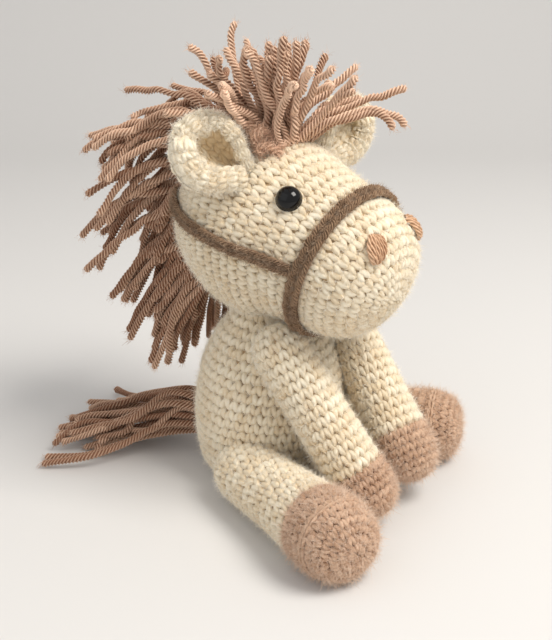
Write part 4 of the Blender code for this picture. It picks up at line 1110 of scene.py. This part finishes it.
# For each frayed loop: its angle on the crest in degrees, its place across the head and its height
FRAYED_LOOPS = [(112, -0.0150, 0.0055), (105, -0.0125, 0.0085), (99, -0.0155, 0.0075), (95, -0.0115, 0.0130),
                (87, -0.0135, 0.0105), (80, -0.0120, 0.0135), (73, -0.0150, 0.0095)]
FRAYED_RADIUS, FRAYED_PITCH, FRAYED_FUZZ = 0.0016, 0.009, 200
FRAYED_FIBRES, FRAYED_FIBRE_LENGTH, FRAYED_FIBRE_WIDTH = 62000, 0.0034, 0.00009


def add_frayed_loop(build, angle, across, rise, rng):
    """A loop of yarn that has come apart into fibres."""
    spot, away = outward(crest_place(math.radians(angle))[0] + Vector((across, 0, 0)))
    turn = rng.uniform(0, math.pi)
    flat = Vector((math.cos(turn), math.sin(turn), 0.2)) * rng.uniform(0.0028, 0.0042)
    drift = Vector(rng.normal(0, 0.0012, 3))
    points = to_world([spot - flat * 0.8, spot - flat + away * rise * 0.6 + drift,
                       spot + away * rise + drift * 1.5, spot + flat + away * rise * 0.6 + drift,
                       spot + flat * 0.8])
    tint = rng.uniform(0.35, 0.65)
    yarn(build, points, FRAYED_RADIUS, rng, pitch=FRAYED_PITCH, cut=False, tint=tint, fuzz=FRAYED_FUZZ)
    line, length = smooth_path(points, 0.0004)
    count = int(length * FRAYED_FIBRES)
    roots = line[rng.integers(0, len(line), count)] + rng.normal(0, 0.0010, (count, 3))
    ways = unit(rng.normal(0, 1, (count, 3)))
    tints = tint + rng.uniform(-0.15, 0.4, count)
    fibres(build, roots, ways, rng, FRAYED_FIBRE_LENGTH, FRAYED_FIBRE_WIDTH, 0.3, tints)


def make_forelock():
    rng = np.random.default_rng(61)
    build = Build()
    half = 0.5 * FORELOCK_ROWS
    for row in range(FORELOCK_ROWS):
        hit, _ = crest_place(FORELOCK_ANGLE - FORELOCK_PITCH / HEAD_RADIUS * row)
        for column in range(FORELOCK_ROWS):
            lean = (column + 0.5 * (row % 2) - 0.5 * (FORELOCK_ROWS - 0.5)) / half
            ahead = (0.5 * (FORELOCK_ROWS - 1) - row) / half
            spot, away = outward(hit + ACROSS * (lean * FORELOCK_SIDE))
            tilt = 1.0 if ahead > 0 else 0.6
            # The corner before the right ear stands up, as in the photo.
            spread = 0.35 if lean < 0 < ahead else 1.0
            fan = Vector((lean * spread + rng.normal(0, 0.16),
                          -ahead * tilt * spread + rng.normal(0, 0.18), 1))
            outer = max(abs(lean), abs(ahead))
            tint = rng.uniform(0.4, 0.85)
            length = FORELOCK_LENGTH * (0.72 + 0.2 * outer) * rng.uniform(0.8, 1.12)
            sag = (0.12 + 0.38 * outer) * rng.uniform(0.4, 1.5) + (0.4 if lean > 0.45 else 0)
            curl = rng.normal(0, 0.26 * spread, 3)
            places = hanging(spot + away * 0.0014, fan.normalized(), sag, length, curl, rng)
            yarn(build, places, STRAND_RADIUS * rng.uniform(0.88, 1.04), rng, tint=tint, fuzz=STRAND_FUZZ)
            knot(build, spot, away, rng, tint)
    for angle, across, rise in FRAYED_LOOPS:
        add_frayed_loop(build, angle, across, rise, rng)
    finish_piece(build.object("forelock_yarn", [MANE]), "head", "mane_yarn", "forelock")


# Where the tail's longest strands end on the table, from right to left
TAIL_TIPS = np.array([(-0.055, 0.090), (-0.041, 0.096), (-0.044, 0.0985), (-0.027, 0.105), (-0.011, 0.108),
                      (0.010, 0.106), (0.027, 0.111)])
TAIL_ROOT, TAIL_STRANDS, TAIL_SPREAD = 0.041942, 30, 0.0095
GOLDEN_ANGLE = math.pi * (3 - math.sqrt(5))


def make_tail():
    rng = np.random.default_rng(62)
    build = Build()
    centre = np.array((0.0, TAIL_ROOT, TAIL_HEIGHT))
    for k in range(TAIL_STRANDS):
        reach = TAIL_SPREAD * math.sqrt((k + 0.5) / TAIL_STRANDS)
        across, rise = reach * math.cos(GOLDEN_ANGLE * k), reach * math.sin(GOLDEN_ANGLE * k)
        share = 0.5 + 0.5 * across / TAIL_SPREAD
        level = (rise / TAIL_SPREAD + 1) / 2
        tip_at = np.clip(share + rng.normal(0, 0.12), 0, 1) * (len(TAIL_TIPS) - 1)
        x, y = (np.interp(tip_at, range(len(TAIL_TIPS)), column) for column in TAIL_TIPS.T)
        back = 1 - 0.34 * rng.uniform(0, 1) ** 2
        low = 0.0016 + 0.008 * level ** 2 * rng.uniform(0.3, 1.3)
        tip = np.array((x * back, centre[1] + (y - centre[1]) * back, low))
        root = centre + np.array((across * 0.9, -0.0070, rise * 0.9 + 0.001))
        flat = (tip - centre) * (1, 1, 0)
        loose = rng.normal(0, 0.0036, (3, 3)) * (1, 1, 0.5)
        knee = centre + flat * 0.16 + np.array((across * 0.9, 0, rise * 1.05 + 0.001)) + loose[0] * 0.3
        middle = centre + flat * 0.45 + np.array((across * 0.5, 0, 0)) + loose[1]
        middle[2] = 0.0032 + 0.0150 * level + abs(loose[1][2])
        far = centre + flat * 0.74 + loose[2]
        far[2] = 0.0018 + 0.0100 * level + abs(loose[2][2])
        places = [root, knee, middle, far, tip]
        yarn(build, places, STRAND_RADIUS, rng, tint=rng.uniform(0.1, 0.65), fuzz=STRAND_FUZZ)
    # Turns of yarn round the root
    turn = np.linspace(0, FULL_TURN, 19)
    for ring in range(8):
        level = (ring - 3.5) / 4.2
        radius = (TAIL_KNOT_RADIUS - 0.0012) * math.sqrt(max(0.1, 1 - level * level))
        behind = 0.006 * level + 0.0008 * np.sin(turn + ring) - 0.001
        loop = np.stack([radius * np.cos(turn), behind, radius * np.sin(turn)], axis=1)
        yarn(build, loop + centre, STRAND_RADIUS, rng, cut=False)
    finish_piece(build.object("tail_yarn", [MANE]), "tail_body", "mane_yarn", "tail")


# Stage

# The floor runs from before the object to a bend behind it and up, as a backdrop
FLOOR_FRONT, FLOOR_HALF_WIDTH = -2.0, 2.4
BACKDROP_DISTANCE, BACKDROP_BEND, BACKDROP_HEIGHT = 1.2, 0.5, 1.6
# Lamps: place from the aim along the camera's way back, to its right and up, then size, power and colour
LAMPS = (("key", (0.35, 0.55, 0.75), 0.5, 10.5, (1, 0.96, 0.90)),
         ("fill", (0.6, -0.6, 0.35), 0.9, 0.8, (0.93, 0.96, 1)))
WORLD_COLOUR, WORLD_STRENGTH = (1, 0.985, 0.965, 1), 0.62


def make_stage():
    away = Vector((-CAMERA_PLACE.x, -CAMERA_PLACE.y, 0)).normalized()
    across = Vector((away.y, -away.x, 0))
    level = BACKDROP_DISTANCE - BACKDROP_BEND
    line = [(FLOOR_FRONT, 0.0), (level, 0.0)]
    for a in np.linspace(0.1, math.pi / 2, 16):
        line.append((level + BACKDROP_BEND * math.sin(a), BACKDROP_BEND * (1 - math.cos(a))))
    line.append((BACKDROP_DISTANCE, BACKDROP_HEIGHT))
    points = [away * along + across * (sign * FLOOR_HALF_WIDTH) + UP * rise
              for along, rise in line for sign in (-1, 1)]
    faces = [(2 * k, 2 * k + 1, 2 * k + 3, 2 * k + 2) for k in range(len(line) - 1)]
    mesh = bpy.data.meshes.new("floor")
    mesh.from_pydata(points, [], faces)
    mesh.shade_smooth()
    mat, _, _ = new_material("floor_pale", Base_Color=(0.72, 0.71, 0.70, 1), Roughness=0.9,
                             Specular_IOR_Level=0.2)
    mesh.materials.append(mat)
    add_object("floor", mesh)


def aim(obj, place, way):
    obj.location = place
    obj.rotation_mode = "QUATERNION"
    obj.rotation_quaternion = way.to_track_quat("-Z", "Y")


def make_lights():
    world = bpy.context.scene.world or bpy.data.worlds.new("world")
    bpy.context.scene.world = world
    world.use_nodes = True
    background = world.node_tree.nodes["Background"]
    background.inputs[0].default_value = WORLD_COLOUR
    background.inputs[1].default_value = WORLD_STRENGTH
    forward = (CAMERA_AIM - CAMERA_PLACE).normalized()
    right = forward.cross(UP).normalized()
    for name, (back, side, rise), size, power, colour in LAMPS:
        data = bpy.data.lights.new(name, "AREA")
        data.size = size
        data.energy = power
        data.color = colour
        place = -forward * back + right * side + UP * rise
        aim(add_object(name, data), CAMERA_AIM + place, -place)


def make_camera():
    data = bpy.data.cameras.new("camera")
    data.sensor_width = SENSOR_WIDTH
    data.lens = SENSOR_WIDTH * FOCAL_PIXELS / max(FRAME_PIXELS)
    data.clip_start, data.clip_end = 0.01, 20
    camera = add_object("camera", data)
    aim(camera, CAMERA_PLACE, CAMERA_AIM - CAMERA_PLACE)
    bpy.context.scene.camera = camera


def main():
    make_camera()
    make_lights()
    make_stage()
    make_body()
    make_head()
    make_limbs()
    make_bridle()
    make_eyes()
    make_nostrils()
    for number, (side, name) in enumerate(SIDES):
        make_ear(side, name, 50 + number)
    make_mane()
    make_forelock()
    make_tail()
    for name in ("eye_washer_right", "eye_washer_left"):
        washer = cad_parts[name]
        washer.data.materials.clear()
        washer.data.materials.append(WASHER)
    bpy.context.scene.view_settings.view_transform = "Standard"


main()
